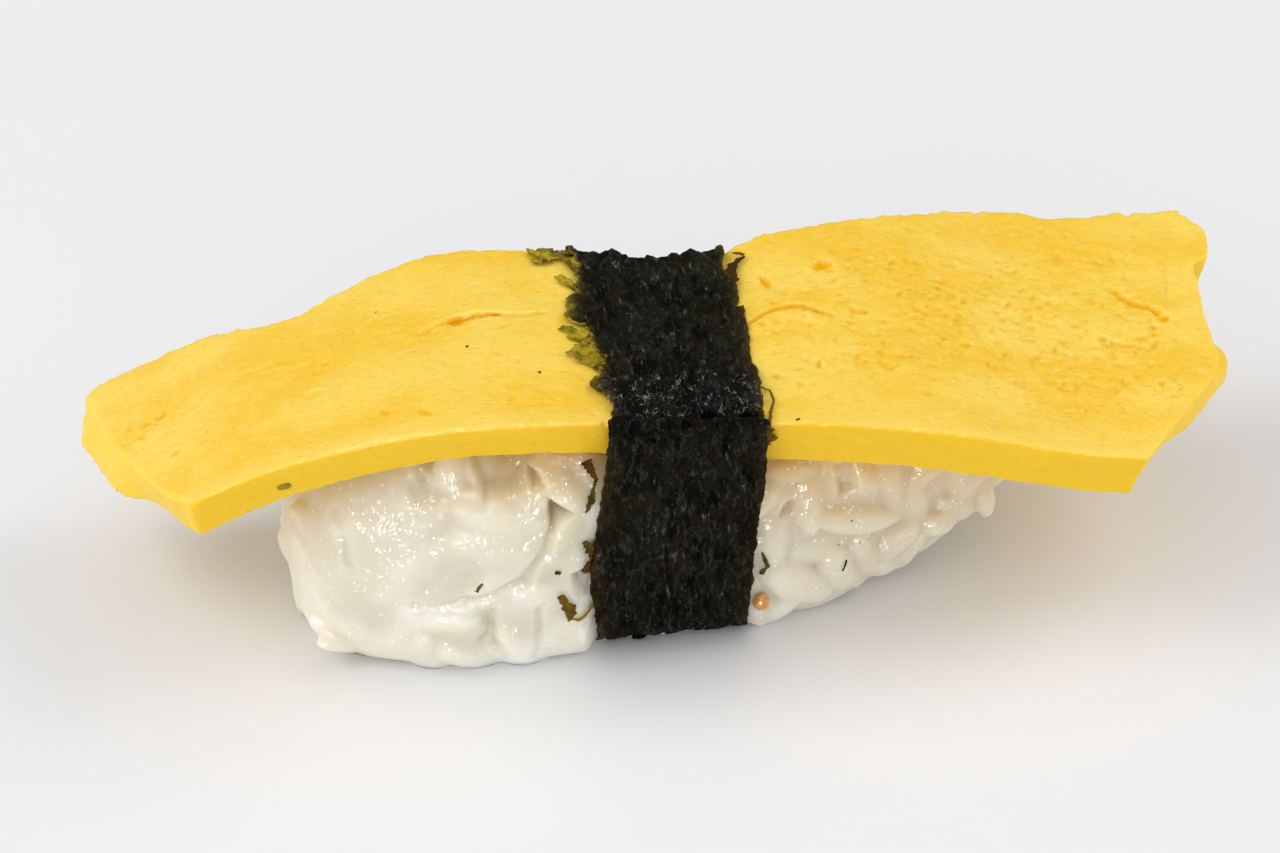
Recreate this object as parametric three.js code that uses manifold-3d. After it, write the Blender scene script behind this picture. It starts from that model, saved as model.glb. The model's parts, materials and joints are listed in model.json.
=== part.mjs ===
// Tamago nigiri: a slice of rolled omelette draped over a pressed ball of rice, and tied
// round the middle by a band of dried seaweed.
// Millimetres, +Z up. X runs along the nigiri and -Y is its front. The pieces are shaped in the
// rice ball's own frame, and moved at the end so that the origin is on the surface that the
// nigiri rests on, under the middle of the whole.
import * as THREE from "three";
import { MeshSurfaceSampler } from "three/addons/math/MeshSurfaceSampler.js";
import { mergeVertices } from "three/addons/utils/BufferGeometryUtils.js";
import Module from "manifold-3d";

const wasm = await Module();
wasm.setup();

// ---- Driving dimensions ----
const clearance = 0.25; // kept between neighbouring pieces
const middle = new THREE.Vector3(0.43, -0.23, 0); // of the whole, in the rice ball's own frame

const rice = {
  reachLeft: 26.4,
  reachRight: 26.0,
  height: 17.8, // before the omelette presses on it
  widestZ: 4.5,
  sink: 1.8, // how much of the round underside is pressed flat
  bluntLeft: 3.8, // exponents of the two ends' outlines, seen from above: 2 is an ellipse
  bluntRight: 2.2,
  blockyAbove: 3.2, // exponents of the cross-section over and under its widest height
  blockyBelow: 3.0,
  liftRight: 4.5, // the underside rises towards the right end, as a boat's does
  waistLift: 0.6, // share of that rise by which the widest height rises
  aroundSteps: 16,
  lengthSteps: 20,
};

const grain = {
  length: 6.6,
  width: 3.2,
  thickness: 2.6,
  count: 205,
  plump: 0.12, // how much thicker its front end is, as a share
  lean: 0.5, // radians off the ball's own length
  scatter: 1.1,
  deepest: 0.45, // how far its middle may lie inside the core
  sides: 6,
  rings: 3,
};

const band = {
  left: -5.5,
  right: 6.0,
  thickness: 0.3,
  footHalfWidth: 10.3, // of the flat underside
  waistHalfWidth: 11.9,
  waistZ: 8.0,
  footTurnZ: 1.6, // where the side begins to turn under the foot
  edgeTurn: 0.5, // height in which the band turns down over the slice's edge
  stations: 7, // across the band's width
  topSteps: 10, // round the nigiri
  sideSteps: 8,
  footSteps: 6,
};

const roeBead = { radius: 0.62, at: new THREE.Vector3(5.85, -11.0, 3.2) };

// ---- Curves ----

// The pair before x, and the share of the way from it to the next, held at both ends.
function segmentAt(pairs, x) {
  const inside = THREE.MathUtils.clamp(x, pairs[0][0], pairs[pairs.length - 1][0]);
  const k = Math.max(pairs.findIndex((pair) => pair[0] >= inside) - 1, 0);
  return { k, t: (inside - pairs[k][0]) / (pairs[k + 1][0] - pairs[k][0]) };
}

// A smooth curve through [x, value] pairs, level beyond its ends.
function through(pairs) {
  const slope = (k) => {
    const before = pairs[Math.max(k - 1, 0)];
    const after = pairs[Math.min(k + 1, pairs.length - 1)];
    return (after[1] - before[1]) / (after[0] - before[0]);
  };
  return (x) => {
    const { k, t } = segmentAt(pairs, x);
    const span = pairs[k + 1][0] - pairs[k][0];
    const bow = span * t * (1 - t) * ((1 - t) * slope(k) - t * slope(k + 1));
    return THREE.MathUtils.lerp(pairs[k][1], pairs[k + 1][1], t * t * (3 - 2 * t)) + bow;
  };
}

// Straight lines through [x, value] pairs, for a cut edge with corners.
function cornersThrough(pairs) {
  return (x) => {
    const { k, t } = segmentAt(pairs, x);
    return THREE.MathUtils.lerp(pairs[k][1], pairs[k + 1][1], t);
  };
}

const signedPower = (value, power) => Math.sign(value) * Math.abs(value) ** power;

// ---- The omelette slice ----
// Each curve gives a size against x. The slice is cut wider at the right, it droops at both
// ends, and it twists a little, so that its right end leans towards the front.
const omelette = {
  frontY: (x) => -11.7 - 0.075 * x,
  width: through([
    [-42, 19.2], [-38.6, 19.7], [-34, 19.8], [-30, 19.0], [-26.9, 17.7], [-24.6, 18.1],
    [-20.8, 20.2], [-16, 21.7], [-12, 22.2], [-5, 21.1], [0, 19.9], [5, 20.6], [8, 22.1],
    [12, 23.3], [18, 25.0], [24, 26.4], [29.5, 27.6], [31.5, 26.5], [36, 27.2], [42, 26.9],
  ]),
  frontTopZ: through([
    [-42, 11.8], [-38, 13.8], [-34, 15.8], [-30.7, 17.4], [-27, 18.8], [-23, 19.8],
    [-18, 20.7], [-12, 21.1], [-5, 20.9], [0, 20.5], [6, 20.2], [10, 19.9],
    [16, 19.0], [22, 17.7], [27, 16.3], [32, 15.5], [37, 15.2], [42, 15.0],
  ]),
  // The back edge's height over the front edge's: the band pulls it down where it crosses.
  backRise: through([
    [-42, -1.6], [-20, -0.9], [-8, -0.5], [0, -0.7], [5, -0.5], [9, 0.3], [20, 1.2], [42, 2.4],
  ]),
  arch: 0.25, // of the cross-section's middle over its edges
  thickness: through([
    [-42, 3.9], [-33, 3.9], [-26, 3.6], [-16, 3.3], [-8, 3.4], [-2, 3.8], [6, 4.1], [22, 4.2],
    [42, 4.0],
  ]),
  undercut: 1.0, // how far the front face's foot lies behind its top edge
  backUndercut: 0.6,
  straightEnd: 38, // the rows across run straight up to the last share of the length at each end
  endShare: 0.22,
  alongSteps: 46,
  acrossSteps: 9,
  thickSteps: 2,
};

// Where the two cut ends lie, as x against the share of the width from front to back.
const omeletteEnds = {
  leftTop: through([
    [0, -34.2], [0.08, -35.4], [0.25, -37.0], [0.5, -38.5], [0.78, -39.7], [1, -40.5],
  ]),
  leftFoot: cornersThrough([
    [0, -33.6], [0.17, -35.1], [0.36, -36.6], [0.44, -38.6], [0.77, -40.2], [1, -41.2],
  ]),
  rightTop: cornersThrough([
    [0, 32.8], [0.05, 34.0], [0.22, 37.4], [0.34, 40.7], [0.48, 40.2], [0.6, 40.5],
    [0.77, 40.9], [0.8, 40.7], [0.83, 42.2], [0.92, 42.0], [1, 41.2],
  ]),
  rightFoot: cornersThrough([
    [0, 31.8], [0.09, 33.0], [0.24, 35.5], [0.38, 39.4], [0.45, 40.0], [0.6, 40.0], [1, 40.7],
  ]),
};

// Cracks where the roll's layers part, each from one point to another on the slice's top.
const omeletteCracks = [
  { from: [-17.0, 2.0], to: [-8.7, 2.8] },
  { from: [6.9, -0.6], to: [9.7, 0.6] },
  { from: [9.3, 0.7], to: [12.6, -0.7] },
  { from: [34.6, 2.6], to: [37.2, -0.1] },
];
const crackSize = { halfWidth: 0.32, depth: 0.4 };

// Height of the slice's top at an x and a share of the way across.
function omeletteTopZ(x, across) {
  const bow = omelette.arch * 4 * across * (1 - across);
  return omelette.frontTopZ(x) + omelette.backRise(x) * across + bow;
}

const omeletteShareAt = (x, y) =>
  THREE.MathUtils.clamp((y - omelette.frontY(x)) / omelette.width(x), 0, 1);

// A point of the slice: along and across from 0 to 1, and up from 0, the underside, to 1, the top.
// The swell makes it that much larger all round, which gives the room that its neighbours leave it.
function omelettePoint(along, across, up, swell = 0) {
  const mix = THREE.MathUtils.lerp;
  const left = mix(omeletteEnds.leftFoot(across), omeletteEnds.leftTop(across), up) - swell;
  const right = mix(omeletteEnds.rightFoot(across), omeletteEnds.rightTop(across), up) + swell;
  const straight = mix(-omelette.straightEnd, omelette.straightEnd, along);
  const nearLeft = 1 - THREE.MathUtils.smoothstep(along, 0, omelette.endShare);
  const nearRight = THREE.MathUtils.smoothstep(along, 1 - omelette.endShare, 1);
  const x =
    straight +
    (left + omelette.straightEnd) * nearLeft +
    (right - omelette.straightEnd) * nearRight;
  const front = omelette.frontY(x) + omelette.undercut * (1 - up) - swell;
  const back =
    omelette.frontY(x) + omelette.width(x) - omelette.backUndercut * (1 - up) + swell;
  const top = omeletteTopZ(x, across);
  const bottom = top - omelette.thickness(x);
  return new THREE.Vector3(x, mix(front, back, across), mix(bottom - swell, top + swell, up));
}

// Bends a unit box's vertices into the slice's shape.
function omeletteGeometry(swell = 0) {
  const geometry = new THREE.BoxGeometry(
    1, 1, 1,
    omelette.alongSteps, omelette.acrossSteps, omelette.thickSteps,
  );
  const position = geometry.getAttribute("position");
  for (let i = 0; i < position.count; i++) {
    const p = omelettePoint(
      position.getX(i) + 0.5,
      position.getY(i) + 0.5,
      position.getZ(i) + 0.5,
      swell,
    );
    position.setXYZ(i, p.x, p.y, p.z);
  }
  return geometry;
}

// A slender lens lying in the slice's top, which cuts one crack.
function crackGeometry({ from, to }) {
  const ends = [from, to].map(
    ([x, y]) => new THREE.Vector3(x, y, omeletteTopZ(x, omeletteShareAt(x, y))),
  );
  const run = ends[1].clone().sub(ends[0]);
  const geometry = new THREE.SphereGeometry(1, 6, 6);
  geometry.rotateZ(Math.PI / 2);
  geometry.scale(run.length() / 2, crackSize.halfWidth, crackSize.depth);
  const placement = new THREE.Matrix4().makeRotationFromQuaternion(
    new THREE.Quaternion().setFromUnitVectors(new THREE.Vector3(1, 0, 0), run.normalize()),
  );
  placement.setPosition(ends[0].lerp(ends[1], 0.5));
  return geometry.applyMatrix4(placement);
}

function omeletteSolid() {
  return omeletteCracks.reduce(
    (slice, crack) => slice.subtract(solidOf(crackGeometry(crack))),
    solidOf(omeletteGeometry()),
  );
}

// ---- The seaweed band ----
// The band's outline round the nigiri at one x, as [y, z] points of its inner face. It lies on the
// slice's top, turns down over its edges, and passes flat under the rice.
function bandOutline(x) {
  const { topSteps, sideSteps, footSteps } = band;
  const along = (x / omelette.straightEnd + 1) / 2;
  const points = [];
  for (let i = 0; i <= topSteps; i++) {
    const p = omelettePoint(along, i / topSteps, 1, clearance);
    points.push([p.y, p.z]);
  }
  // From the slice's edge over the waist to the foot; direction is -1 in front and 1 behind.
  const side = (edge, direction) => {
    const overEdge = new THREE.Vector2(edge.y + direction * 0.1, edge.z - band.edgeTurn);
    const waist = new THREE.Vector2(direction * (band.waistHalfWidth - band.thickness), band.waistZ);
    const foot = new THREE.Vector2(direction * band.footHalfWidth, band.thickness);
    const curve = new THREE.SplineCurve([
      overEdge,
      overEdge.clone().lerp(waist, 0.6),
      waist,
      new THREE.Vector2((waist.x + foot.x) / 2, band.footTurnZ),
      foot,
    ]);
    return curve.getSpacedPoints(sideSteps).map((p) => [p.x, p.y]);
  };
  points.push(...side(omelettePoint(along, 1, 1, clearance), 1));
  for (let i = 1; i < footSteps; i++) {
    points.push([band.footHalfWidth * (1 - (2 * i) / footSteps), band.thickness]);
  }
  points.push(...side(omelettePoint(along, 0, 1, clearance), -1).reverse());
  return points;
}

// Moves a closed [y, z] outline outwards by a distance, along the mean of its two edges' normals.
function offsetOutline(points, distance) {
  const count = points.length;
  return points.map(([y, z], i) => {
    const [y0, z0] = points[(i + count - 1) % count];
    const [y1, z1] = points[(i + 1) % count];
    const normal = new THREE.Vector2(-(z1 - z0), y1 - y0).normalize();
    return [y + normal.x * distance, z + normal.y * distance];
  });
}

// How far the band's two cut edges stray from straight, against the share of the way round.
const bandEdges = {
  left: through([
    [0, 0.5], [0.04, 0.4], [0.1, 0.5], [0.14, -0.4], [0.17, -0.6], [0.21, 0.2], [0.3, 0.0],
    [0.45, -0.3], [0.6, 0.1], [0.72, -0.2], [0.8, -0.9], [0.84, -1.1], [0.88, -0.4], [1, 0.5],
  ]),
  right: through([
    [0, -0.1], [0.1, 0.1], [0.2, 0.4], [0.3, 0.2], [0.45, -0.4], [0.6, -0.9],
    [0.72, -1.1], [0.8, -1.0], [0.9, -0.5], [1, -0.1],
  ]),
};

// The band's two edges, as x, where it passes a point of the rice.
const middleOutline = bandOutline((band.left + band.right) / 2);
function bandSpanAt(p) {
  const reach = middleOutline.map(([y, z]) => Math.hypot(y - p.y, z - p.z));
  const round = reach.indexOf(Math.min(...reach)) / reach.length;
  return [band.left + bandEdges.left(round), band.right + bandEdges.right(round)];
}

// A closed sleeve between the band's outline moved out by two distances, and widened at its edges.
function sleeveGeometry(innerDistance, outerDistance, widen = 0) {
  const vertices = [];
  const triangles = [];
  const last = band.stations - 1;
  for (let station = 0; station <= last; station++) {
    const share = station / last;
    const x = THREE.MathUtils.lerp(band.left, band.right, share);
    const outline = bandOutline(x);
    [innerDistance, outerDistance].forEach((distance) => {
      offsetOutline(outline, distance).forEach(([y, z], i) => {
        const round = i / outline.length;
        const stray = THREE.MathUtils.lerp(
          bandEdges.left(round) - widen,
          bandEdges.right(round) + widen,
          share,
        );
        vertices.push(x + stray, y, z);
      });
    });
  }
  const count = vertices.length / 6 / band.stations;
  const inner = (station, i) => 2 * station * count + (i % count);
  const outer = (station, i) => inner(station, i) + count;
  const quad = (a, b, c, d) => triangles.push(a, b, c, a, c, d);
  for (let i = 0; i < count; i++) {
    for (let s = 0; s < last; s++) {
      quad(outer(s, i), outer(s + 1, i), outer(s + 1, i + 1), outer(s, i + 1));
      quad(inner(s, i), inner(s, i + 1), inner(s + 1, i + 1), inner(s + 1, i));
    }
    quad(outer(0, i), outer(0, i + 1), inner(0, i + 1), inner(0, i));
    quad(outer(last, i), inner(last, i), inner(last, i + 1), outer(last, i + 1));
  }
  const geometry = new THREE.BufferGeometry();
  geometry.setAttribute("position", new THREE.Float32BufferAttribute(vertices, 3));
  geometry.setIndex(triangles);
  return geometry;
}

// ---- The rice ----
const riceHalfWidth = through([
  [-26, 12.5], [-12, 12.3], [-4, 11.9], [7, 10.8], [16, 10.3], [26, 9.4],
]);

// A point of the ball's skin: lengthways from -1 to 1, and turned round the X axis.
function ricePoint(lengthways, turn) {
  const reach = lengthways < 0 ? rice.reachLeft : rice.reachRight;
  const blunt = lengthways < 0 ? rice.bluntLeft : rice.bluntRight;
  const shrink = (1 - Math.abs(lengthways) ** blunt) ** (1 / blunt);
  const x = reach * lengthways;
  const lift = rice.liftRight * Math.max(lengthways, 0) ** 2;
  const widestZ = rice.widestZ + rice.waistLift * lift;
  const above = Math.sin(turn) > 0;
  const halfHeight = above ? rice.height - widestZ : widestZ + rice.sink - lift;
  const power = 2 / (above ? rice.blockyAbove : rice.blockyBelow);
  const z = widestZ + halfHeight * shrink * signedPower(Math.sin(turn), power);
  const y = riceHalfWidth(x) * shrink * signedPower(Math.cos(turn), power);
  return new THREE.Vector3(x, y, Math.max(z, 0));
}

function riceCoreGeometry() {
  const geometry = new THREE.SphereGeometry(1, rice.aroundSteps, rice.lengthSteps);
  geometry.rotateZ(Math.PI / 2); // its poles become the ball's two ends
  const position = geometry.getAttribute("position");
  for (let i = 0; i < position.count; i++) {
    const lengthways = THREE.MathUtils.clamp(position.getX(i), -1, 1);
    const skin = ricePoint(lengthways, Math.atan2(position.getZ(i), position.getY(i)));
    position.setXYZ(i, skin.x, skin.y, skin.z);
  }
  geometry.computeVertexNormals();
  return geometry;
}

// One cooked grain, lying along X and a little plumper at one end.
function grainGeometry() {
  const geometry = new THREE.SphereGeometry(1, grain.sides, grain.rings);
  geometry.rotateZ(Math.PI / 2);
  const position = geometry.getAttribute("position");
  for (let i = 0; i < position.count; i++) {
    const x = position.getX(i);
    const plump = 1 + grain.plump * x;
    position.setXYZ(
      i,
      (x * grain.length) / 2,
      (position.getY(i) * plump * grain.width) / 2,
      (position.getZ(i) * plump * grain.thickness) / 2,
    );
  }
  return geometry;
}

// A repeatable random draw from 0 to 1.
function seededDraw(seed) {
  let state = seed;
  return () => {
    state = (state * 1664525 + 1013904223) % 4294967296;
    return state / 4294967296;
  };
}

// Whether a placed grain keeps clear of the slice and the band.
function grainFits(geometry) {
  const position = geometry.getAttribute("position");
  const p = new THREE.Vector3();
  for (let i = 0; i < position.count; i++) {
    p.fromBufferAttribute(position, i);
    const across = omeletteShareAt(p.x, p.y);
    const undersideZ = omeletteTopZ(p.x, across) - omelette.thickness(p.x);
    if (p.z > undersideZ - clearance) return false;
    const [left, right] = bandSpanAt(p);
    if (p.x > left - clearance && p.x < right + clearance) return false;
  }
  return true;
}

// ---- Solids ----
function solidOf(geometry) {
  const bare = geometry.clone();
  bare.deleteAttribute("normal");
  bare.deleteAttribute("uv");
  const merged = mergeVertices(bare, 1e-4);
  return new wasm.Manifold(
    new wasm.Mesh({
      numProp: 3,
      vertProperties: merged.attributes.position.array,
      triVerts: new Uint32Array(merged.index.array),
    }),
  );
}

function geometryOf(solid) {
  const mesh = solid.getMesh();
  const geometry = new THREE.BufferGeometry();
  geometry.setAttribute("position", new THREE.BufferAttribute(mesh.vertProperties, 3));
  geometry.setIndex(new THREE.BufferAttribute(mesh.triVerts, 1));
  return geometry;
}

// The largest body alone: it drops loose scraps and fills what fusing sealed.
function largestBody(solid) {
  return solid.decompose().reduce((a, b) => (b.volume() > a.volume() ? b : a));
}

// Points on the ball's skin with its outward normals, spread evenly: each new one is the
// farthest from the others of a few drawn at random. None is on the flat underside.
function evenSpots(geometry, count, draw) {
  const sampler = new MeshSurfaceSampler(new THREE.Mesh(geometry.toNonIndexed()))
    .setRandomGenerator(draw)
    .build();
  const candidates = 14;
  const downwards = -0.9; // a normal lower than this belongs to the underside
  const spots = [];
  while (spots.length < count) {
    let best = null;
    for (let k = 0; k < candidates; k++) {
      const point = new THREE.Vector3();
      const out = new THREE.Vector3();
      sampler.sample(point, out);
      const room = Math.min(...spots.map((spot) => spot.point.distanceTo(point)), Infinity);
      if (out.z > downwards && (best === null || room > best.room)) best = { point, out, room };
    }
    if (best !== null) spots.push(best);
  }
  return spots;
}

// A grain laid on a spot, leaning off the ball's length, and shortened to a share.
function laidGrain(spot, lean, depth, share) {
  const out = spot.out;
  const onEnd = Math.abs(out.x) > 0.9; // there the ball's length gives no direction
  const reference = new THREE.Vector3(onEnd ? 0 : 1, onEnd ? 1 : 0, 0);
  const lie = reference.projectOnPlane(out).normalize().applyAxisAngle(out, lean);
  const side = new THREE.Vector3().crossVectors(out, lie);
  const placement = new THREE.Matrix4().makeBasis(lie, side, out);
  placement.scale(new THREE.Vector3(share, (1 + share) / 2, (1 + share) / 2));
  placement.setPosition(spot.point.clone().addScaledVector(out, -depth));
  return grainGeometry().applyMatrix4(placement);
}

function riceSolid() {
  const draw = seededDraw(7);
  const tries = 8;
  const core = riceCoreGeometry();
  const pieces = [solidOf(core)];
  evenSpots(core, grain.count, draw).forEach((spot) => {
    for (let attempt = 0; attempt < tries; attempt++) {
      const placed = laidGrain(
        spot,
        grain.lean + (draw() - 0.5) * 2 * grain.scatter,
        grain.deepest * draw(),
        1 - 0.05 * attempt - 0.1 * draw(),
      );
      if (grainFits(placed)) {
        pieces.push(solidOf(placed));
        break;
      }
    }
  });
  const bead = new THREE.IcosahedronGeometry(roeBead.radius, 1);
  pieces.push(solidOf(bead.translate(roeBead.at.x, roeBead.at.y, roeBead.at.z)));
  const cutterSize = 100;
  const aroundBand = 6; // what stands out past the band is cut away this far
  const cutters = [
    new THREE.BoxGeometry(cutterSize, cutterSize, cutterSize).translate(0, 0, -cutterSize / 2),
    omeletteGeometry(clearance),
    sleeveGeometry(-clearance, aroundBand, clearance),
  ];
  const heap = pieces.reduce((whole, piece) => whole.add(piece));
  return largestBody(cutters.reduce((left, cutter) => left.subtract(solidOf(cutter)), heap));
}

// ---- The nigiri ----
const nigiri = new THREE.Group();

function addPiece(name, geometry, material) {
  const mesh = new THREE.Mesh(geometry, material);
  mesh.name = name;
  mesh.position.copy(middle).negate();
  nigiri.add(mesh);
}

addPiece(
  "rice_ball",
  geometryOf(riceSolid()),
  new THREE.MeshStandardMaterial({ color: 0xece9e2, roughness: 0.35, metalness: 0 }),
);
addPiece(
  "omelette_slice",
  geometryOf(omeletteSolid()),
  new THREE.MeshStandardMaterial({ color: 0xf7cb45, roughness: 0.55, metalness: 0 }),
);
addPiece(
  "seaweed_band",
  sleeveGeometry(0, band.thickness),
  new THREE.MeshStandardMaterial({ color: 0x14170f, roughness: 0.5, metalness: 0 }),
);

export default nigiri;
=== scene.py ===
import json
import math
import random
from collections import Counter

import bpy
import numpy as np
from mathutils import Matrix, Vector, noise
from mathutils.bvhtree import BVHTree
from mathutils.kdtree import KDTree

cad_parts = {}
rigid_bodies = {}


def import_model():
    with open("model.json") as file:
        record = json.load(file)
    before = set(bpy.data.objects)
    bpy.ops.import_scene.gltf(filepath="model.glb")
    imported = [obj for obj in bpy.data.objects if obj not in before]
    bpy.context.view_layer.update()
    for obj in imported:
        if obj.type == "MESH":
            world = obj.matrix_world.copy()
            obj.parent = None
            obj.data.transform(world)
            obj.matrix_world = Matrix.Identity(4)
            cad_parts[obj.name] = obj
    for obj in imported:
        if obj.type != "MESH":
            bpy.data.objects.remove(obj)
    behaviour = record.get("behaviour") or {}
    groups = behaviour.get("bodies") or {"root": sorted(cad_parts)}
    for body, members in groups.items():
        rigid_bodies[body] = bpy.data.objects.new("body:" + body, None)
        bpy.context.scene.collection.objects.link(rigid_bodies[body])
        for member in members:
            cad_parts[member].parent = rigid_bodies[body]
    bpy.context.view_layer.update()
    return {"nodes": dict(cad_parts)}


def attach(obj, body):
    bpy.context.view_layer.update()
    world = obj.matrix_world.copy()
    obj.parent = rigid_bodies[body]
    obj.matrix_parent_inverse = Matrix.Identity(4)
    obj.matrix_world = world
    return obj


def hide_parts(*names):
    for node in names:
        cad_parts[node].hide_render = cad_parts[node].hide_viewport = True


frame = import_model()
mm = 0.001
print("frame loaded:", ", ".join(frame["nodes"]))


def onlySelect(piece):
    if bpy.context.mode != "OBJECT":
        bpy.ops.object.mode_set(mode="OBJECT")
    bpy.ops.object.select_all(action="DESELECT")
    piece.select_set(True)
    bpy.context.view_layer.objects.active = piece


def editAll(piece):
    onlySelect(piece)
    bpy.ops.object.mode_set(mode="EDIT")
    bpy.ops.mesh.select_all(action="SELECT")


def applyModifier(piece, kind, **settings):
    onlySelect(piece)
    modifier = piece.modifiers.new(kind.lower(), kind)
    for setting, value in settings.items():
        setattr(modifier, setting, value)
    bpy.ops.object.modifier_apply(modifier=modifier.name)


def cloudTexture(name, size, depth=2):
    texture = bpy.data.textures.new(name, "CLOUDS")
    texture.noise_scale = size * mm
    texture.noise_depth = depth
    return texture


def roughen(piece, texture, height, group=""):
    # texture pushes the surface in and out by half of height
    applyModifier(piece, "DISPLACE", texture=texture, strength=height * mm, mid_level=0.5,
                  texture_coords="LOCAL", vertex_group=group)


def copyOfNode(nodeName, pieceName):
    piece = bpy.data.objects.new(pieceName, frame["nodes"][nodeName].data.copy())
    bpy.context.collection.objects.link(piece)
    piece.data.materials.clear()
    editAll(piece)
    bpy.ops.mesh.customdata_custom_splitnormals_clear()
    bpy.ops.mesh.remove_doubles(threshold=0.002 * mm)
    bpy.ops.object.mode_set(mode="OBJECT")
    return piece


def placesOf(piece):
    places = np.empty(len(piece.data.vertices) * 3)
    piece.data.vertices.foreach_get("co", places)
    return places.reshape(-1, 3) / mm


def normalsOf(piece):
    normals = np.empty(len(piece.data.vertices) * 3)
    piece.data.vertices.foreach_get("normal", normals)
    return normals.reshape(-1, 3)


def movePlaces(piece, places):
    piece.data.vertices.foreach_set("co", (places * mm).astype(np.float32).ravel())
    piece.data.update()


def paint(piece, name, shares):
    # one number from 0 to 1 at each point, which the material reads
    layer = piece.data.attributes.get(name) or piece.data.attributes.new(name, "FLOAT", "POINT")
    layer.data.foreach_set("value", shares.astype(np.float32))


def weigh(piece, name, shares):
    group = piece.vertex_groups.new(name=name)
    for index, share in enumerate(shares):
        if share > 0.01:
            group.add([index], float(share), "REPLACE")


def ease(values, low, high):
    t = np.clip((values - low) / (high - low), 0, 1)
    return t * t * (3 - 2 * t)


def noiseAt(places, size, seed=0.0, octaves=2):
    # smooth noise from about -1 to 1 at each place
    shift = Vector((seed * 17.3, seed * 5.1, seed * 9.7))
    return np.array([noise.fractal(Vector(p) / size + shift, 1.0, 2.0, octaves) for p in places])


def finishPiece(piece, material, stands=None):
    onlySelect(piece)
    bpy.ops.object.transform_apply(location=True, rotation=True, scale=True)
    bpy.ops.object.shade_smooth()
    piece.data.materials.clear()
    piece.data.materials.append(material)
    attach(piece, "root")
    if stands:
        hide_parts(stands)
    triangles = sum(len(p.vertices) - 2 for p in piece.data.polygons)
    print(f"{piece.name}: {triangles} triangles")
    return piece


def newMaterial(name):
    material = bpy.data.materials.new(name)
    material.use_nodes = True
    tree = material.node_tree
    return material, tree, tree.nodes["Principled BSDF"]


def isOutput(value):
    return isinstance(value, bpy.types.NodeSocket)


def addNode(tree, kind, inputs=None, **settings):
    # inputs may hold values or other nodes' outputs
    node = tree.nodes.new(kind)
    for setting, value in settings.items():
        setattr(node, setting, value)
    for key, value in (inputs or {}).items():
        if isOutput(value):
            tree.links.new(value, node.inputs[key])
        else:
            node.inputs[key].default_value = value
    return node


def objectPlace(tree, stretch=(1, 1, 1)):
    # object coordinates in millimetres, squeezed or stretched
    place = addNode(tree, "ShaderNodeTexCoord").outputs["Object"]
    scale = tuple(s / mm for s in stretch)
    return addNode(tree, "ShaderNodeMapping", {"Vector": place, "Scale": scale}).outputs["Vector"]


def noiseNode(tree, place, scale, detail=3.0, roughness=0.5):
    return addNode(tree, "ShaderNodeTexNoise", {
        "Vector": place, "Scale": scale, "Detail": detail, "Roughness": roughness}).outputs["Fac"]


def spread(tree, value, low, high, start=0.0, end=1.0):
    return addNode(tree, "ShaderNodeMapRange", {
        "Value": value, "From Min": low, "From Max": high, "To Min": start, "To Max": end,
    }, interpolation_type="SMOOTHSTEP").outputs["Result"]


def blendColours(tree, share, first, second):
    first, second = (colour if isOutput(colour) else (*colour, 1) for colour in (first, second))
    return addNode(tree, "ShaderNodeMix", {0: share, 6: first, 7: second}, data_type="RGBA").outputs[2]


def blendNumbers(tree, share, first, second):
    return addNode(tree, "ShaderNodeMix", {0: share, 2: first, 3: second}, data_type="FLOAT").outputs[0]


def attributeShare(tree, name):
    return addNode(tree, "ShaderNodeAttribute", attribute_name=name).outputs["Fac"]


def timesNode(tree, first, second):
    return addNode(tree, "ShaderNodeMath", {0: first, 1: second}, operation="MULTIPLY").outputs[0]


def tintWhere(tree, colour, *tints):
    # each tint is the name of a painted share, how much of it counts, and its colour
    for name, most, tint in tints:
        colour = blendColours(tree, timesNode(tree, attributeShare(tree, name), most), colour, tint)
    return colour


def bumpFrom(tree, shader, *layers):
    # each layer is a height and how deep it goes, in millimetres
    normal = None
    for height, depth in layers:
        node = addNode(tree, "ShaderNodeBump", {"Height": height, "Distance": depth * mm, "Strength": 1.0})
        if normal:
            tree.links.new(normal, node.inputs["Normal"])
        normal = node.outputs["Normal"]
    tree.links.new(normal, shader.inputs["Normal"])


def setShader(shader, **values):
    for name, value in values.items():
        shader.inputs[name.replace("_", " ")].default_value = value


# camera, floor and light
view = {
    "azimuth": -9, "elevation": 38, "lens": 135.84, "sensor": 36,
    "place": (-44.56, -270.87, 225.94),
}
studio = {
    "floorSize": 4.0, "floorColour": (0.82, 0.82, 0.83), "floorShade": (0.805, 0.805, 0.815),
    "worldColour": (0.945, 0.965, 1.0), "worldFront": 0.73, "worldBack": 0.66,
    "darkSide": (0.12, 0.78, 0.61), "darkShare": 0.30,  # where level tops mirror the sky
    "lamps": (  # name, place, size, power, colour, only for gloss
        ("softBackLeft", (-0.50, 0.10, 0.58), 0.46, 1.9, (1.0, 0.985, 0.955), False),
        ("softBackRight", (0.52, 0.10, 0.55), 0.46, 1.3, (1.0, 0.985, 0.965), False),
        ("softFront", (-0.35, -0.80, 0.20), 0.90, 0.6, (1.0, 0.99, 0.97), False),
        ("softLeft", (-0.80, -0.20, 0.30), 0.70, 1.3, (1.0, 0.98, 0.95), False),
        ("softRight", (0.80, -0.15, 0.30), 0.70, 1.1, (1.0, 0.985, 0.96), False),
        ("sparkFront", (-0.22, -0.70, 0.30), 0.20, 9.0, (1.0, 1.0, 1.0), True),
        ("sparkTop", (-0.12, -0.10, 0.70), 0.16, 6.0, (1.0, 1.0, 1.0), True),
    ),
}


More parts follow.
